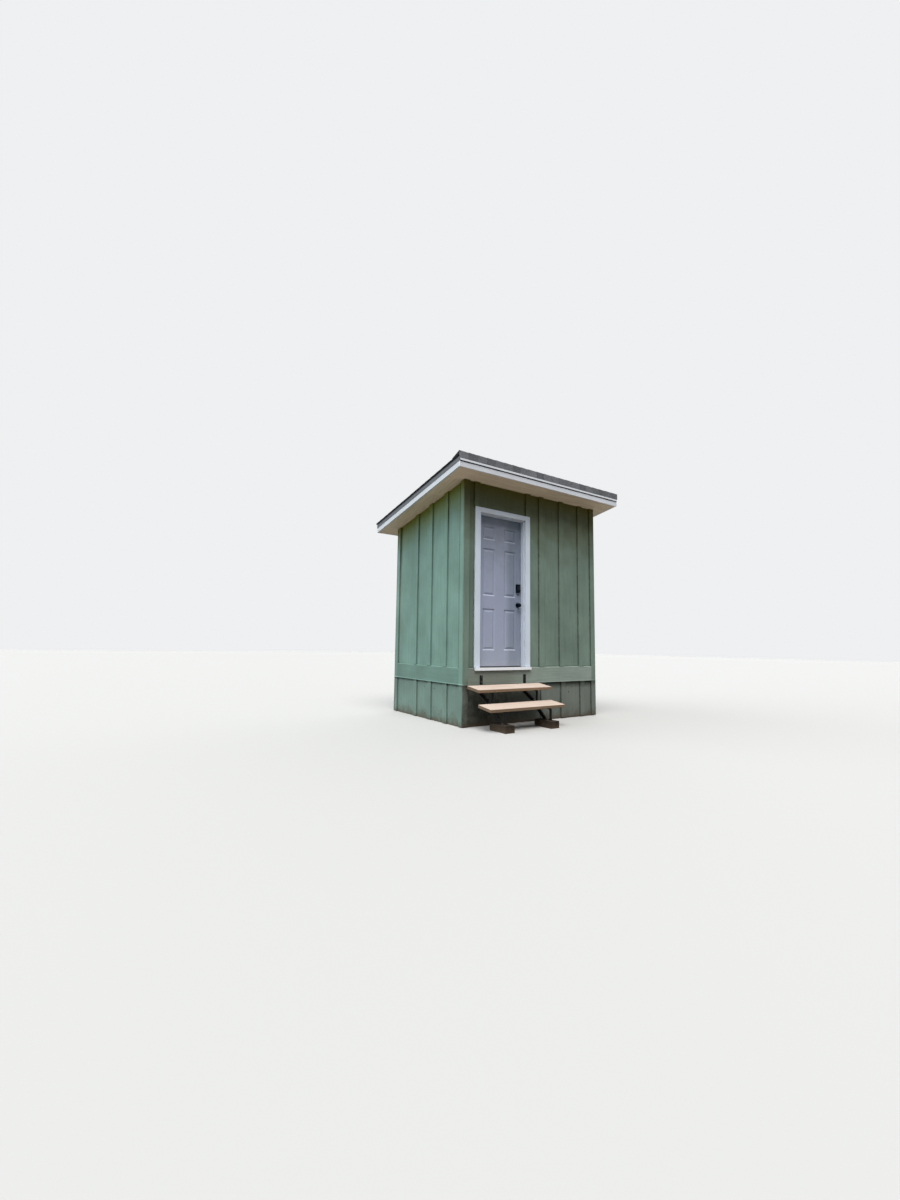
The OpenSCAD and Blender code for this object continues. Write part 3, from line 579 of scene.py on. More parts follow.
def coated_metal(name, colour, roughness, dust, shine=0.3, dust_and_light=0.0, splash_reach=0.0):
    """Powder-coated or prefinished metal, slightly uneven; painted shade in its corners; dust and
    painted light on tops.
    """
    material, tree, shader, place = new_material(name, roughness, shine=shine)
    uneven = tree.noise(place, 35.0, detail=5.0, roughness=0.6)
    shade = tree.mix(tree.spread(uneven, 0.35, 0.7, 0.0, dust), colour, METAL_DUST)
    # Painted shade in the corners, a darker copy of the metal's colour
    shade = tree.dirtied_or_shaded(shade, CREVICE, place, reach=0.01, strength=0.5,
                         stain_or_shade=toned(colour, 0.4))
    # Dust on the tops, which also paints the light falling on them
    if dust_and_light:
        drift = tree.times(facing(tree, "z")["Up"], tree.spread(uneven, 0.4, 0.55))
        shade = tree.stained_or_shaded(shade, drift, dust_and_light, SETTLED_DUST_AND_LIGHT)
    if splash_reach:
        shade = tree.dirtied_or_shaded(shade, SPLASH, place, splash_reach, strength=1.0, stain_or_shade=DIRT)
    tree.put(shade, shader.inputs["Base Color"])
    tree.put(tree.spread(uneven, *NOISE_SPAN, roughness - 0.08, roughness + 0.14),
             shader.inputs["Roughness"])
    bump(tree, shader, tree.noise(place, 260.0, detail=2.0), 0.0002)
    return material


def bare_metal(name, colour, roughness=0.38, along=(900.0, 900.0, 30.0)):
    """Plain metal with fine drawn lines and dull patches."""
    material, tree, shader, place = new_material(name, roughness, metallic=1.0)
    lines = tree.noise(tree.vector("MULTIPLY", place, along), 1.0, detail=3.0)
    dull = tree.noise(place, 40.0, detail=4.0)
    shade = tree.mix(tree.spread(dull, 0.35, 0.7), colour, toned(colour, 0.62))
    tree.put(shade, shader.inputs["Base Color"])
    tree.put(tree.spread(lines, *NOISE_SPAN, roughness - 0.1, roughness + 0.15),
             shader.inputs["Roughness"])
    bump(tree, shader, lines, 0.00005)
    return material


def door_paint():
    """Factory paint on the pressed door, greyed as in shade, with painted shade and highlights, and
    dust at the foot.
    """
    dusty_z = 0.75
    clean_z = 1.15
    material, tree, shader, place = new_material("door_paint", shine=0.2)
    weather = tree.effect(BLOTCHES, Place=place, Scale=1.8)
    fading = tree.spread(weather["Fading"], *NOISE_SPAN)
    colour = tree.mix(fading, toned(SHADED_DOOR_WHITE, 0.92), SHADED_DOOR_WHITE)
    # Painted shade, with some dirt, in the mouldings
    colour = tree.dirtied_or_shaded(colour, CREVICE, place, reach=0.014, strength=0.42,
                          stain_or_shade=MOULDING_SHADE_AND_GRIME)
    # Painted shade at the door's top, under the trim head and the eaves
    colour = tree.dirtied_or_shaded(colour, EAVE_SHADE, place, reach=1.45, strength=0.85,
                          stain_or_shade=DOOR_EAVE_SHADE)
    axes = tree.axes(place)
    # Painted shade down the lock stile, beside the jamb
    lock_side_shade = tree.spread(axes["X"], LOCK_STILE - 0.06, LOCK_STILE + 0.04, 0.0, 0.42)
    colour = tree.mix(lock_side_shade, colour, LOCK_STILE_SHADE)
    low_down = tree.spread(axes["Z"], dusty_z, clean_z, 0.4, 0.0)
    colour = tree.stained_or_shaded(colour, low_down, tree.noise(place, 22.0, detail=5.0), DOOR_DUST)
    # A painted highlight on upward faces of the mouldings
    colour = tree.stained_or_shaded(colour, facing(tree, "z")["Up"], 0.6, LEDGE_HIGHLIGHT)
    tree.put(colour, shader.inputs["Base Color"])
    tree.put(tree.spread(fading, 0.0, 1.0, 0.32, 0.44), shader.inputs["Roughness"])
    bump(tree, shader, tree.noise(place, 420.0, detail=1.0), 0.00015)
    return material


def rubber(name, colour):
    """Dull rubber or felt with soft blotches."""
    material, tree, shader, place = new_material(name, roughness=0.7)
    uneven = tree.noise(place, 90.0, detail=4.0)
    tree.put(tree.mix(uneven, colour, toned(colour, 1.8)), shader.inputs["Base Color"])
    bump(tree, shader, uneven, 0.0002)
    return material


# Finishes. X is for the front and back, or timber that runs across them. Y is for the two
# sides, or timber that runs along them. Z is for upright boards.
# The sides' paint: a greener sage, painted shade with some dirt where faces meet, painted shade
# under the eaves and painted shadow under the belly band
SIDE_PAINT_AND_SHADE = {"sage": SAGE_SIDES, "shade_and_grime": 0.12, "eave_shade": (0.5, 1.0, (0.141, 0.162, 0.01)),
                "band_shadow": (0.034, 0.85)}
SIDING_X = sage_paint("sage_siding_ends", "z", SIDING_RELIEF, lining=True)
# A darker copy of the siding for the strip between the left corner board and the door trim: painted
# shade
SIDING_SHADED_NOOK = sage_paint("sage_siding_shaded_nook", "z", SIDING_RELIEF, lining=True, tone=0.7)
SIDING_Y = sage_paint("sage_siding_sides", "z", SIDING_RELIEF, lining=True, **SIDE_PAINT_AND_SHADE)
BATTEN_X = sage_paint("sage_battens_ends", "z", BOARD_RELIEF, lower=SAGE_SKIRT,
                      band_shadow=(0.1, 0.87), splash_reach=0.12)
BATTEN_Y = sage_paint("sage_battens_sides", "z", BOARD_RELIEF, lower=SIDES_SKIRT,
                      splash_reach=0.12, **SIDE_PAINT_AND_SHADE)
# The corner boards are a shaded copy of the sage on the front and back, and a lit copy on the sides
CORNER_X = sage_paint("sage_corners_ends", "z", BOARD_RELIEF, tone=0.93, lower=SAGE_SKIRT,
                      band_shadow=(0.1, 0.6), shade_and_soil_behind_steps=0.9, splash_reach=0.12)
CORNER_Y = sage_paint("sage_corners_sides", "z", BOARD_RELIEF, tone=1.08, lower=SIDES_SKIRT,
                      splash_reach=0.12, **SIDE_PAINT_AND_SHADE)
# The band's front is a paler copy of the sage, for the light it catches: painted light
BAND_X = sage_paint("sage_band_ends", "x", BOARD_RELIEF, SAGE_BAND, tone=1.3,
                    band_shadow=(0.06, 0.5), shade_beside_steps=0.42)
BAND_Y = sage_paint("sage_band_sides", "y", BOARD_RELIEF, tone=0.82, **SIDE_PAINT_AND_SHADE)
SKIRT_X = sage_paint("sage_skirt_ends", "z", SKIRT_RELIEF, SAGE_SKIRT, knots=0.7,
                     band_shadow=(0.1, 0.87), shade_and_soil_behind_steps=0.88, splash_reach=0.14)
SKIRT_Y = sage_paint("sage_skirt_sides", "z", SKIRT_RELIEF, lower=SIDES_SKIRT, knots=0.7,
                     splash_reach=0.2, **SIDE_PAINT_AND_SHADE)
# The trims' white has painted shade under the eaves
WHITE_X = white_paint("white_paint_across", "x", eave_shade=(0.8, 0.5))
WHITE_Z = white_paint("white_paint_upright", "z", eave_shade=(0.8, 0.5))
SILL_X = white_paint("sill_white_across", "x", FRONT_WHITE)
JAMB_X = white_paint("jamb_white_across", "x", JAMB_WHITE)
# The front fascia has strong painted shade under the drip edge's lip
FASCIA_X = white_paint("fascia_white_across", "x", FASCIA_WHITE, crevice=(0.03, 0.8))
FASCIA_Y = white_paint("fascia_white_along", "y", RAKE_WHITE)
PLAIN_BOARDS = {"roughness": 0.6, "contrast": 0.22, "relief": 0.0004, "knots": 0.0}
SOFFIT_X = bare_wood("soffit_ends_stain", LIT_SOFFIT_STAIN, "x", **PLAIN_BOARDS)
SOFFIT_Y = bare_wood("soffit_sides_stain", LIT_SOFFIT_STAIN, "y", **PLAIN_BOARDS)
TIMBER_X = bare_wood("sawn_timber_across", SAWN_TIMBER, "x", roughness=0.82)
TIMBER_Y = bare_wood("sawn_timber_along", SAWN_TIMBER, "y", roughness=0.82)
TIMBER_Z = bare_wood("sawn_timber_upright", SAWN_TIMBER, "z", roughness=0.82, splash_reach=0.2)
FLOOR = bare_wood("floor_boards", FLOOR_PINE, "x", roughness=0.7, relief=0.0005)
TREAD = bare_wood("tread_pine", FRESH_PINE, "x", roughness=0.7, contrast=0.18, knots=0.4,
                  bleached=PALE_PINE)
BLOCK = bare_wood("weathered_and_shaded_block", WET_AND_SHADED_TIMBER, "y", roughness=0.88, contrast=0.4,
                  relief=0.0016, splash_reach=0.12)
SHEATHING = flake_board("roof_sheathing")
SHINGLE = granules("shingle_granules", *SHINGLE_STONE)
CAP = granules("cap_granules", *CAP_STONE)
FLASHING = coated_metal("grey_flashing", FLASHING_GREY, roughness=0.42, dust=0.08)
DRIP = coated_metal("white_drip_edge", DRIP_WHITE, roughness=0.36, dust=0.04)
DOOR = door_paint()
LOCK = coated_metal("black_lock", LOCK_BLACK, roughness=0.42, dust=0.002, shine=0.02)
KNOB = coated_metal("black_knob", LOCK_BLACK, roughness=0.36, dust=0.002, shine=0.03)
STEEL = bare_metal("hinge_steel", PLAIN_STEEL)
THRESHOLD = bare_metal("threshold_metal", DULL_ALUMINIUM, roughness=0.5,
                       along=(30.0, 900.0, 900.0))
STEP_STEEL = coated_metal("step_steel", STEP_BLACK, roughness=0.45, dust=0.03, shine=0.1,
                          dust_and_light=0.9, splash_reach=0.14)
SEAL = rubber("door_seal", RUBBER_BLACK)
SHADOW_FELT = rubber("shadow_felt", SHADOW_FELT_BLACK)

NODE_MATERIALS = {
    "skirt_ends": SKIRT_X, "skirt_sides": SKIRT_Y, "floor_posts": TIMBER_Z,
    "floor_rims": TIMBER_X, "floor_joists": TIMBER_Y, "floor_deck": FLOOR,
    "front_wall_left": SIDING_SHADED_NOOK, "front_wall_right": SIDING_X, "front_wall_header": SIDING_X,
    "left_wall": SIDING_Y, "right_wall": SIDING_Y, "back_wall": SIDING_X,
    "battens_front": BATTEN_X, "battens_back": BATTEN_X, "battens_sides": BATTEN_Y,
    "corner_boards_ends": CORNER_X, "corner_boards_sides": CORNER_Y,
    "band_ends": BAND_X, "band_sides": BAND_Y, "soffit_ends": SOFFIT_X, "soffit_sides": SOFFIT_Y,
    "rafters": TIMBER_Y, "rafter_blocks": TIMBER_X, "roof_deck": SHEATHING, "front_cap": CAP,
    "roofing": SHINGLE, "rake_flashings": FLASHING, "drip_edges": DRIP, "fascia_ends": FASCIA_X,
    "fascia_sides": FASCIA_Y, "door_jambs": WHITE_Z, "door_jamb_head": JAMB_X,
    "door_stops": WHITE_Z, "threshold": THRESHOLD, "door_trim_sides": WHITE_Z,
    "door_trim_head": WHITE_X, "sill_board": SILL_X, "door": DOOR, "lock_set": LOCK,
    "knob": KNOB, "door_hinges": STEEL, "frame_hinges": STEEL, "step_treads": TREAD,
    "step_frames": STEP_STEEL, "step_blocks": BLOCK,
}
for node_name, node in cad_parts.items():
    for material_slot in node.material_slots:
        material_slot.material = NODE_MATERIALS[node_name]


# making pieces

def new_object(name, data):
    made = bpy.data.objects.new(name, data)
    bpy.context.scene.collection.objects.link(made)
    return made


def mesh_object(name, mesh, material):
    """An object of one material from a bmesh."""
    data = bpy.data.meshes.new(name)
    mesh.to_mesh(data)
    mesh.free()
    data.materials.append(material)
    return new_object(name, data)


def piece(name, mesh, material, body):
    """A finished piece from a bmesh, riding on a body."""
    made = mesh_object(name, mesh, material)
    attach(made, body)
    return made


def solids(node_name):
    """The box of each separate solid of a node, as (lowest corner, highest corner)."""
    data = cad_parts[node_name].data
    keys = [tuple(round(c, 5) for c in vertex.co) for vertex in data.vertices]
    owner = {key: key for key in keys}

    def root(key):
        while owner[key] != key:
            owner[key] = owner[owner[key]]
            key = owner[key]
        return key

    for polygon in data.polygons:
        corners = [root(keys[index]) for index in polygon.vertices]
        for corner in corners[1:]:
            owner[root(corner)] = root(corners[0])
    groups = {}
    for key in owner:
        groups.setdefault(root(key), []).append(key)
    boxes = [(Vector(map(min, zip(*group))), Vector(map(max, zip(*group))))
             for group in groups.values()]
    return sorted(boxes, key=lambda box: tuple(box[0]))


def add_box(mesh, low, high):
    """A box between two corners."""
    size = Vector(high) - Vector(low)
    middle = (Vector(high) + Vector(low)) / 2
    made = bmesh.ops.create_cube(mesh, size=1.0)["verts"]
    place = Matrix.Translation(middle) @ Matrix.Diagonal((*size, 1.0))
    bmesh.ops.transform(mesh, matrix=place, verts=made)


def ease_edges(mesh, offset):
    """Takes the sharpness off every edge."""
    bmesh.ops.bevel(mesh, geom=mesh.edges[:], offset=offset, segments=2, affect="EDGES")


def long_edges(mesh, length):
    """The edges that run across the front for more than a length."""
    return [e for e in mesh.edges if abs(e.verts[0].co.x - e.verts[1].co.x) > length]


def add_head(mesh, point, normal, radius, height, sides):
    """A low domed head on a face: a sunk rim, a shoulder and a crown, as shares of its size."""
    turn = Vector(normal).to_track_quat("Z", "X").to_matrix().to_4x4()
    place = Matrix.Translation(point) @ turn
    rings = []
    for scale, level in ((1.0, -0.1), (1.0, 0.36), (0.62, 1.0)):
        rings.append([mesh.verts.new(place @ Vector((
            math.cos(2 * math.pi * i / sides) * radius * scale,
            math.sin(2 * math.pi * i / sides) * radius * scale,
            level * height))) for i in range(sides)])
    for low, high in zip(rings, rings[1:]):
        for i in range(sides):
            j = (i + 1) % sides
            mesh.faces.new((low[i], low[j], high[j], high[i]))
    mesh.faces.new(rings[-1])
    mesh.faces.new(rings[0][::-1])


def heads(name, places, material, body, slot, radius, height, sides=8):
    """One piece with a head at each place, given as a point and a normal."""
    mesh = bmesh.new()
    for point, normal in places:
        add_head(mesh, point, normal, radius, height, sides)
    piece(name, mesh, material, body)


# the roof

def roof_height(y):
    """Height of the roof deck's upper face above a place between front and back."""
    low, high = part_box("roof_deck")
    return high.z - (y - low.y) * math.tan(ROOF_PITCH)


def set_tone(mesh, face, tone):
    """Makes a face darker or paler than its material."""
    shade = mesh.loops.layers.color.get("shade")
    for loop in face.loops:
        loop[shade] = (tone, tone, tone, 1.0)


def add_slope_plate(mesh, x0, x1, y0, y1, lifts, foot, tone):
    """A plate on the roof: lifts are its heights over the deck at its upper and lower ends."""
    top0, top1 = lifts
    points = [
        (x0, y0, foot), (x1, y0, foot), (x1, y1, foot), (x0, y1, foot),
        (x0, y0, top0), (x1, y0, top0), (x1, y1, top1), (x0, y1, top1)]
    made = [mesh.verts.new((x, y, roof_height(y) + lift)) for x, y, lift in points]
    for corners in ((3, 2, 1, 0), (4, 5, 6, 7), (0, 1, 5, 4),
                    (1, 2, 6, 5), (2, 3, 7, 6), (3, 0, 4, 7)):
        set_tone(mesh, mesh.faces.new([made[i] for i in corners]), tone)


def shingles():
    """Laminated shingles in courses from the low edge up, with random thick tabs."""
    exposure = SHINGLE_SHOWS * math.cos(ROOF_PITCH)
    head_lift = 0.0012
    butt_lift = 0.0044
    tab_rise = 0.0028
    foot_gap = 0.0002
    least = 0.02
    strip_lengths = (0.5, 1.0)
    strip_tones = (0.7, 1.0)
    tab_widths = (0.09, 0.21)
    tab_gaps = (0.05, 0.15)
    tab_tones = (0.75, 1.5)
    first_shifts = (0.0, 0.12)
    lip_lift = 0.004
    # The turned-down lips at the rakes are darkened: partly the bitumen edge, partly painted shade
    lip_tone = 0.12
    low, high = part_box("roofing")
    draw = random.Random(11)
    mesh = bmesh.new()
    mesh.loops.layers.color.new("shade")
    butt = high.y
    while butt > low.y + least:
        head = max(low.y, butt - exposure)
        x = low.x
        while x < high.x:
            end = min(high.x, x + draw.uniform(*strip_lengths))
            add_slope_plate(mesh, x, end, head, butt, (head_lift, butt_lift), foot_gap,
                            draw.uniform(*strip_tones))
            x = end
        x = low.x - draw.uniform(*first_shifts)
        while x < high.x:
            end = x + draw.uniform(*tab_widths)
            left = max(x, low.x)
            right = min(end, high.x)
            if right - left > least:
                add_slope_plate(mesh, left, right, head, butt,
                                (head_lift + tab_rise * 0.7, butt_lift + tab_rise),
                                head_lift * 0.5, draw.uniform(*tab_tones))
            x = end + draw.uniform(*tab_gaps)
        butt = head
    lip_w, lip_h = ROOFING_LIP
    for x in (low.x, high.x - lip_w):
        add_slope_plate(mesh, x, x + lip_w, low.y, high.y, (lip_lift, lip_lift),
                        ROOFING_T - lip_h, lip_tone)
    made = piece("shingles", mesh, SHINGLE, "building")
    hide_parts("roofing")


def add_profile(mesh, outlines, x0, x1, tone, side_tones):
    """A closed bar that runs across the front, with an outline at each end.

    side_tones makes single sides darker or paler, numbered along the outline.
    """
    rings = [[mesh.verts.new((x, y, z)) for y, z in points]
             for x, points in zip((x0, x1), outlines)]
    for ring in (rings[0], rings[1][::-1]):
        set_tone(mesh, mesh.faces.new(ring), tone)
    count = len(rings[0])
    for i in range(count):
        j = (i + 1) % count
        side = mesh.faces.new((rings[0][j], rings[0][i], rings[1][i], rings[1][j]))
        set_tone(mesh, side, tone * side_tones.get(i, 1.0))


def cap_tabs():
    """Cap pieces folded over the high edge, each lapping the next, with a paler fold."""
    lap = 0.03
    thick = 0.003
    fold = 0.007
    rear_lift = 0.0131
    least = 0.01
    ragged_feet = (0.0, 0.004)
    tab_tones = (0.82, 1.12)
    # The fold is paler. The cap's colour is paled for the light on its front leg, painted light,
    # and its top is darkened back to the shingles' tone.
    pale_fold_and_dark_top = {1: 1.7, 2: 0.5}
    core_inset = 0.002
    core_tone = 0.35
    low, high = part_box("front_cap")
    draw = random.Random(23)
    roof_top = roof_height(high.y) + rear_lift
    mesh = bmesh.new()
    mesh.loops.layers.color.new("shade")

    def folded(sink, foot):
        """Outline of a tab, sunk below the cap's outline: outer points, then inner ones."""
        outer = [(low.y + sink, low.z + foot), (low.y + sink, high.z - fold - sink),
                 (low.y + fold + sink, high.z - sink), (high.y, roof_top - sink)]
        inner = [(y + thick if number < 2 else y, z if number < 1 else z - thick)
                 for number, (y, z) in enumerate(outer)]
        return outer + inner[::-1]

    x = low.x
    while x < high.x - least:
        end = min(high.x, x + SHINGLE_SHOWS + lap)
        foot = draw.uniform(*ragged_feet)
        sunk = thick * (end - x) / (SHINGLE_SHOWS + lap)
        add_profile(mesh, (folded(0.0, foot), folded(sunk, foot)), x, end,
                    draw.uniform(*tab_tones), pale_fold_and_dark_top)
        x += SHINGLE_SHOWS
    core = [(low.y + 2 * thick, low.z + fold), (low.y + 2 * thick, high.z - fold - thick),
            (low.y + fold + 2 * thick, high.z - 2 * thick), (high.y - thick, roof_top - 2 * thick),
            (high.y - thick, roof_height(high.y)), (low.y + 2.5 * thick, roof_height(low.y)),
            (low.y + 2.5 * thick, low.z + fold)]
    add_profile(mesh, (core, core), low.x + core_inset, high.x - core_inset, core_tone, {})
    bmesh.ops.recalc_face_normals(mesh, faces=mesh.faces[:])
    made = piece("cap_tabs", mesh, CAP, "building")
    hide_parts("front_cap")


def shadow_felt_edge():
    """A black felt strip under the front drip edge, put where the lip's shadow falls: painted
    shadow.
    """
    drop = 0.013
    thick = 0.0012
    inset = 0.002
    wave_h = 0.004
    waves_per_m = 9.0
    low, high = solids("drip_edges")[0]
    fascia_y = solids("fascia_ends")[0][0].y
    mesh = bmesh.new()
    add_box(mesh, (low.x + inset, fascia_y - thick, low.z - drop),
            (high.x - inset, fascia_y, low.z + drop))
    bmesh.ops.subdivide_edges(mesh, edges=long_edges(mesh, 1.0), cuts=120)
    for vertex in mesh.verts:
        if vertex.co.z < low.z:
            vertex.co.z += wave_h * noise.noise(vertex.co * waves_per_m)
    piece("shadow_felt_edge", mesh, SHADOW_FELT, "building")


shingles()
cap_tabs()
shadow_felt_edge()


# the steps

def tread_frame(box):
    """Matrix of a tread: its origin at the left end of its upper back edge."""
    low, high = box
    back = high.y - TREAD_SIZE[2] * math.sin(TREAD_TILT)
    return Matrix.Translation((low.x, back, high.z)) @ Matrix.Rotation(TREAD_TILT, 4, "X")


def treads():
    """Planks with eased edges, slightly uneven along their length."""
    length, depth, thick = TREAD_SIZE
    ease = 0.004
    uneven = 0.0007
    waves_per_m = 4.0
    next_plank = Vector((0.0, 7.0, 0.0))
    other_wave = Vector((0.0, 0.0, 9.0))
    mesh = bmesh.new()
    for number, box in enumerate(solids("step_treads")):
        made = bmesh.new()
        add_box(made, (0, -depth, -thick), (length, 0, 0))
        bmesh.ops.bevel(made, geom=made.edges[:], offset=ease, segments=3, affect="EDGES",
                        profile=0.6)
        bmesh.ops.subdivide_edges(made, edges=long_edges(made, length / 2), cuts=24)
        for vertex in made.verts:
            place = vertex.co * waves_per_m + next_plank * number
            vertex.co.z += uneven * (noise.noise(place) - 0.5)
            vertex.co.y += uneven * (noise.noise(place + other_wave) - 0.5)
        bmesh.ops.transform(made, matrix=tread_frame(box), verts=made.verts)
        data = bpy.data.meshes.new("tread")
        made.to_mesh(data)
        made.free()
        mesh.from_mesh(data)
        bpy.data.meshes.remove(data)
    planks = piece("tread_planks", mesh, TREAD, "building")
    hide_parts("step_treads")


def tread_screws():
    """Screws down through the treads into the frames."""
    insets = (0.06, 0.19)
    places = []
    frames = [(low.x + high.x) / 2 for low, high in solids("step_frames")]
    for box in solids("step_treads"):
        matrix = tread_frame(box)
        up = matrix.to_3x3() @ Vector((0, 0, 1))
        for x in frames:
            for inset in insets:
                places.append((matrix @ Vector((x - box[0].x, -inset, 0.0)), up))
    heads("tread_screws", places, STEEL, "building", "hinge_steel",
          radius=0.006, height=0.0012, sides=10)


def strap_bolts():
    """Two bolts through each strap into the belly band."""
    drops = (0.025, 0.085)
    places = []
    for low, high in solids("step_frames"):
        x = (low.x + high.x) / 2
        for drop in drops:
            places.append(((x, high.y - STEP_STRAP, high.z - drop), (0, -1, 0)))
    heads("strap_bolts", places, STEP_STEEL, "building", "step_steel",
          radius=0.009, height=0.006, sides=6)


def weld_beads():
    """Rows of small beads where the bars of a step frame meet its strap and its posts."""
    half = STEP_BAR / 2
    inner_post = 0.246
    outer_post = 0.495
    low_bar_z = 0.42
    spacing = 0.0045
    lower, upper = [tread_frame(box) for box in solids("step_treads")]
    band_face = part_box("step_frames")[1].y

    def under(matrix, out):
        """Height of the middle of the bar that carries a tread, a distance out from the band."""
        edge = matrix.translation
        fall_out = (edge.y - band_face + out) * math.tan(TREAD_TILT)
        return edge.z - fall_out - TREAD_SIZE[2] / math.cos(TREAD_TILT) - half

    joints = [(STEP_STRAP, under(upper, STEP_STRAP)), (STEP_STRAP, low_bar_z)]
    for matrix, out in ((upper, inner_post - half), (lower, inner_post + half),
                        (lower, outer_post - half)):
        joints.append((out, under(matrix, out)))
    places = []
    for low, high in solids("step_frames"):
        middle = (low.x + high.x) / 2
        for out, level in joints:
            for side in (-1, 1):
                x = middle + side * half
                places += [((x, band_face - out, level + rise * spacing), (side, -0.6, 0.1))
                           for rise in range(-2, 3)]
    heads("weld_beads", places, STEP_STEEL, "building", "step_steel",
          radius=0.0034, height=0.0022)


treads()
tread_screws()
strap_bolts()
weld_beads()


# nails in the boards

def nail_rows(box, normal, across):
    """Pairs of nails up a board, on its outer face, each a distance across from its middle."""
    foot_inset = 0.05
    top_inset = 0.11
    low, high = box
    normal = Vector(normal)
    side = 0 if abs(normal.y) > 0.5 else 1
    middle = (low[side] + high[side]) / 2
    length = high.z - low.z
    run = length - foot_inset - top_inset
    count = max(2, round((length - 2 * foot_inset) / NAIL_STEP) + 1)
    places = []
    for i in range(count):
        z = low.z + foot_inset + run * i / (count - 1)
        for shift in (-across, across):
            point = Vector((0.0, 0.0, z))
            point[side] = middle + shift
            point[1 - side] = (high if normal[1 - side] > 0 else low)[1 - side]
            places.append((point, normal))
    return places


def outer_normal(box):
    """The way that a board's outer face looks, from where the board is."""
    low, high = box
    middle = (low + high) / 2
    if high.x - low.x > high.y - low.y:
        return (0, math.copysign(1, middle.y), 0)
    return (math.copysign(1, middle.x), 0, 0)


def soffit_height(y):
    """Height of the soffit's underside above a place between front and back."""
    return SOFFIT_Z - (y + WALL_D / 2) * math.tan(ROOF_PITCH)


def spaced(start, end, inset, step):
    """Places at an even spacing near a step, from one inset end to the other."""
    first = start + inset
    last = end - inset
    count = max(1, round(abs(last - first) / step))
    return [first + (last - first) * i / count for i in range(count + 1)]


def fascia_nails():
    """Painted nails through the fascias into the rafters' ends, in two rows."""
    edge = 0.03
    places = []
    for box in solids("fascia_ends"):
        normal = outer_normal(box)
        face = box[0].y if normal[1] < 0 else box[1].y
        for x in spaced(box[0].x, box[1].x, edge, NAIL_STEP):
            places += [((x, face, box[0].z + rise), normal) for rise in (0.016, 0.046)]
    for low, high in solids("fascia_sides"):
        left = low.x < 0
        face = low.x if left else high.x
        for y in spaced(low.y, high.y, edge, NAIL_STEP):
            places += [((face, y, soffit_height(y) + rise), (-1 if left else 1, 0, 0))
                       for rise in (0.016, 0.05)]
    heads("fascia_nails", places, FASCIA_Y, "building", "white_paint",
          radius=0.0035, height=0.0006)


def soffit_nails():
    """Stained nails up through the soffits into the rafters and blocks."""
    edge = 0.03
    step = 0.3
    points = []
    for low, high in solids("soffit_ends"):
        points += [(x, y) for y in (low.y + edge, high.y - edge)
                   for x in spaced(low.x, high.x, edge, step)]
    for low, high in solids("soffit_sides"):
        points += [(x, y) for x in (low.x + edge, high.x - edge)
                   for y in spaced(low.y, high.y, edge, step)]
    down = (0, -math.sin(ROOF_PITCH), -math.cos(ROOF_PITCH))
    places = [((x, y, soffit_height(y)), down) for x, y in points]
    heads("soffit_nails", places, SOFFIT_X, "building", "soffit_wood",
          radius=0.0035, height=0.0006)


def board_nails():
    """Painted nail heads on battens and corner boards."""
    places = []
    for name in ("battens_front", "battens_back", "battens_sides",
                 "corner_boards_ends", "corner_boards_sides"):
        for box in solids(name):
            places += nail_rows(box, outer_normal(box), across=0.024)
    heads("board_nails", places, BATTEN_X, "building", "sage_paint",
          radius=0.0042, height=0.0009)


def trim_nails():
    """Painted nail heads on the door trim."""
    places = []
    for box in solids("door_trim_sides"):
        places += nail_rows(box, (0, -1, 0), across=0.026)
    heads("trim_nails", places, WHITE_Z, "building", "white_paint", radius=0.003, height=0.0005)


board_nails()
trim_nails()
fascia_nails()
soffit_nails()


# the door's fittings

def door_seal():
    """Foam seal between the stops and the closed door, on both sides and over it."""
    thick = 0.008
    squeeze = 0.0008
    stop_low, stop_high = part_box("door_stops")
    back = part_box("door")[0].y - squeeze
    front = stop_high.y
    mesh = bmesh.new()
    for x in (stop_low.x, stop_high.x - thick):
        add_box(mesh, (x, front, stop_low.z), (x + thick, back, stop_high.z))
    add_box(mesh, (stop_low.x + thick, front, stop_high.z - thick),
            (stop_high.x - thick, back, stop_high.z))
    ease_edges(mesh, offset=0.001)
    piece("door_seal", mesh, SEAL, "building")


def door_sweep():
    """Rubber strip along the foot of the door's outer face."""
    side = 0.014
    out = 0.003
    sunk = 0.001
    foot = 0.001
    top = 0.008
    low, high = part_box("door")
    mesh = bmesh.new()
    add_box(mesh, (low.x + side, low.y - out, low.z + foot),
            (high.x - side, low.y + sunk, low.z + top))
    ease_edges(mesh, offset=0.001)
    piece("door_sweep", mesh, SEAL, "door")


def keypad_buttons():
    """Two rows of plain buttons on the keypad's face, over a small key cover."""
    top_inset = 0.024
    row_step = 0.014
    column = 0.012
    cover_rise = 0.02
    low, high = max(solids("lock_set"), key=lambda box: (box[1].z, -box[0].y))
    middle = (low.x + high.x) / 2
    out = (0, -1, 0)
    buttons = [((middle + side * column, low.y, high.z - top_inset - row * row_step), out)
               for row in range(5) for side in (-1, 1)]
    heads("keypad_buttons", buttons, SEAL, "door", "black_lock",
          radius=0.0048, height=0.0016, sides=16)
    cover = [((middle, low.y, low.z + cover_rise), out)]
    heads("key_cover", cover, LOCK, "door", "black_lock", radius=0.0105, height=0.0024, sides=24)


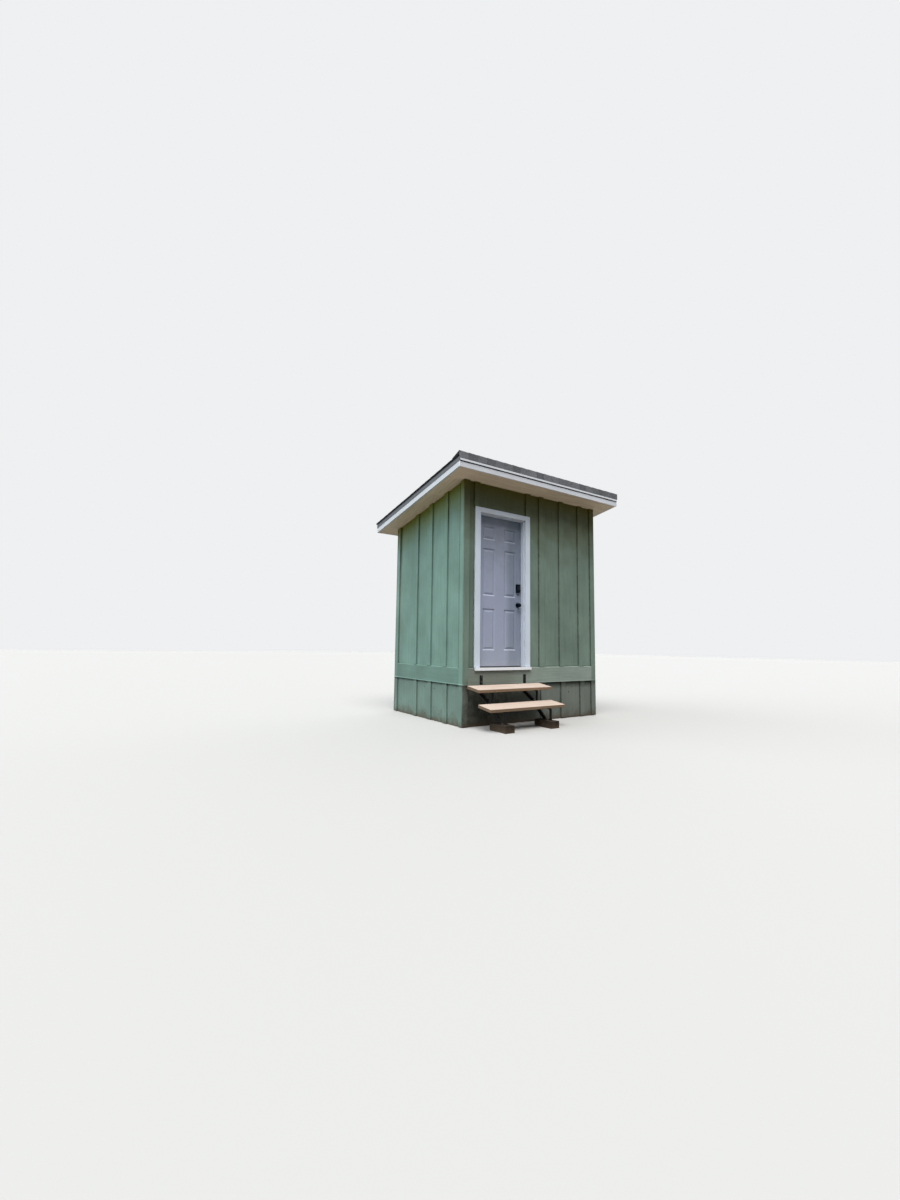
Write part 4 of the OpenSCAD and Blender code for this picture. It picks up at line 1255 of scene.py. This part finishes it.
def hinge_screws():
    """Three screws in each leaf of each hinge."""
    spots = ((0.008, -0.031), (0.021, 0.0), (0.008, 0.031))
    size = {"radius": 0.0038, "height": 0.0006, "sides": 12}
    door_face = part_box("door")[0].x
    jamb_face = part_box("door_stops")[0].x
    on_door = []
    on_jamb = []
    for low, high in solids("door_hinges"):
        level = (low.z + high.z) / 2
        for inset, rise in spots:
            on_door.append(((door_face, low.y + inset, level + rise), (-1, 0, 0)))
            on_jamb.append(((jamb_face, low.y + inset, level + rise), (1, 0, 0)))
    heads("door_hinge_screws", on_door, STEEL, "door", "hinge_steel", **size)
    heads("frame_hinge_screws", on_jamb, STEEL, "building", "hinge_steel", **size)


def lock_plates():
    """Latch plates in the door's edge, and the strike plates that face them on the jamb."""
    thick = 0.0011
    latch_size = (0.025, 0.057)
    bolt_size = (0.012, 0.022)
    bolt_out = 0.0026
    strike_size = (0.027, 0.057)
    strike_shift = -0.0015
    hole_size = (0.014, 0.024)
    hole_out = 0.0002
    screw_rise = 0.021
    low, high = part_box("door")
    door_face = high.x
    jamb_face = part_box("door_stops")[1].x
    middle = (low.y + high.y) / 2
    latch = bmesh.new()
    strike = bmesh.new()
    holes = bmesh.new()
    door_screws = []
    jamb_screws = []

    def add_plate(mesh, level, x0, x1, size, shift=0.0):
        """A flat box of a width and height, by the middle of the door's thickness."""
        width, height = size
        add_box(mesh, (x0, middle + shift - width / 2, level - height / 2),
                (x1, middle + shift + width / 2, level + height / 2))

    levels = sorted({round((box[0].z + box[1].z) / 2, 3) for box in solids("lock_set")})
    for level in (levels[0], levels[-1]):
        add_plate(latch, level, door_face - thick, door_face + thick, latch_size)
        add_plate(latch, level, door_face, door_face + bolt_out, bolt_size)
        add_plate(strike, level, jamb_face - thick, jamb_face + thick, strike_size, strike_shift)
        add_plate(holes, level, jamb_face - thick - hole_out, jamb_face + thick, hole_size)
        for rise in (-screw_rise, screw_rise):
            door_screws.append(((door_face + thick, middle, level + rise), (1, 0, 0)))
            jamb_screws.append(((jamb_face - thick, middle, level + rise), (-1, 0, 0)))
    ease_edges(latch, offset=0.0007)
    ease_edges(strike, offset=0.0007)
    piece("latch_plates", latch, STEEL, "door")
    piece("strike_plates", strike, STEEL, "building")
    piece("strike_holes", holes, SEAL, "building")
    size = {"radius": 0.0034, "height": 0.0005, "sides": 12}
    heads("latch_screws", door_screws, STEEL, "door", "hinge_steel", **size)
    heads("strike_screws", jamb_screws, STEEL, "building", "hinge_steel", **size)


def threshold_screws():
    """Screws down through the threshold, under the closed door's outer face."""
    count = 5
    inset = 0.025
    low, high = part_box("threshold")
    places = [((low.x + (high.x - low.x) * (i + 0.5) / count, low.y + inset, high.z), (0, 0, 1))
              for i in range(count)]
    heads("threshold_screws", places, STEEL, "building", "hinge_steel",
          radius=0.004, height=0.0006, sides=12)


door_seal()
door_sweep()
keypad_buttons()
hinge_screws()
lock_plates()
threshold_screws()


# floor and lighting

def seen_directly(tree):
    """One where the camera, a reflection or glass looks straight at the studio."""
    path = tree.add("ShaderNodeLightPath").outputs
    mirrored = tree.math("MAXIMUM", path["Is Camera Ray"], path["Is Glossy Ray"])
    return tree.math("MAXIMUM", mirrored, path["Is Transmission Ray"])


def stage_material():
    """A floor that looks pale but throws little light back on the object."""
    thrown_back = (0.15, 0.147, 0.14)
    looked_at = (0.43, 0.426, 0.42)
    material, tree, shader, _ = new_material("pale_floor", roughness=0.9)
    tree.put(tree.mix(seen_directly(tree), thrown_back, looked_at), shader.inputs["Base Color"])
    return material


def floor_plane():
    """A wide floor under the object."""
    mesh = bmesh.new()
    bmesh.ops.create_grid(mesh, x_segments=1, y_segments=1, size=60.0)
    mesh_object("floor", mesh, stage_material())


def sky():
    """Soft light that is weak from low in front, and a pale backdrop for the camera."""
    front_level = 0.05
    rear_level = 0.6
    top_level = 0.8
    front_way = -0.45
    rear_way = 0.25
    world = bpy.data.worlds.new("studio")
    world.use_nodes = True
    bpy.context.scene.world = world
    tree = Tree(world.node_tree)
    light = world.node_tree.nodes["Background"]
    light.inputs["Color"].default_value = (0.93, 0.97, 1.0, 1.0)
    way = tree.axes(tree.add("ShaderNodeTexCoord").outputs["Generated"])
    level = tree.spread(way["Y"], front_way, rear_way, front_level, rear_level)
    height = tree.math("POWER", tree.math("MAXIMUM", way["Z"], 0.0), 3.0)
    overhead = tree.times(tree.math("SUBTRACT", top_level, level), height)
    tree.put(tree.math("ADD", level, overhead, clamp=True), light.inputs["Strength"])
    backdrop = tree.add("ShaderNodeBackground", {"Color": (0.86, 0.87, 0.88, 1.0), "Strength": 1.0})
    both = tree.add("ShaderNodeMixShader", {
        0: seen_directly(tree), 1: light.outputs[0], 2: backdrop.outputs[0]})
    tree.put(both.outputs[0], world.node_tree.nodes["World Output"].inputs["Surface"])


def lamp(name, source, energy, spread, colour):
    """A broad soft lamp far away, where the source vector points; its spread is in degrees."""
    data = bpy.data.lights.new(name, "SUN")
    data.energy = energy
    data.angle = math.radians(spread)
    data.color = colour
    made = new_object(name, data)
    made.rotation_euler = (-Vector(source)).to_track_quat("-Z", "Y").to_euler()


def camera():
    """The photograph's viewpoint, found from the building's edges."""
    stand = (-4.7635, -5.9901, 1.0161)
    lens = 14.606
    yaw = 0.5812
    pitch = 0.094
    roll = 0.0139
    ahead = Vector((math.sin(yaw) * math.cos(pitch), math.cos(yaw) * math.cos(pitch),
                    math.sin(pitch)))
    level = Vector((math.cos(yaw), -math.sin(yaw), 0.0))
    above = level.cross(ahead)
    right = level * math.cos(roll) + above * math.sin(roll)
    up = above * math.cos(roll) - level * math.sin(roll)
    turn = Matrix((right, up, -ahead)).transposed().to_4x4()
    data = bpy.data.cameras.new("viewpoint")
    data.lens = lens
    view = new_object("viewpoint", data)
    view.matrix_world = Matrix.Translation(stand) @ turn
    bpy.context.scene.camera = view


floor_plane()
sky()
lamp("high_front", source=(-0.3, -0.42, 1.0), energy=4.0, spread=38, colour=(1.0, 0.985, 0.96))
lamp("left_side", source=(-0.8, 0.45, 0.55), energy=1.55, spread=60, colour=(0.86, 0.98, 1.0))
lamp("right_rear", source=(0.8, 0.45, 0.5), energy=0.7, spread=60, colour=(0.98, 0.99, 1.0))
camera()
bpy.context.scene.view_settings.view_transform = "Standard"
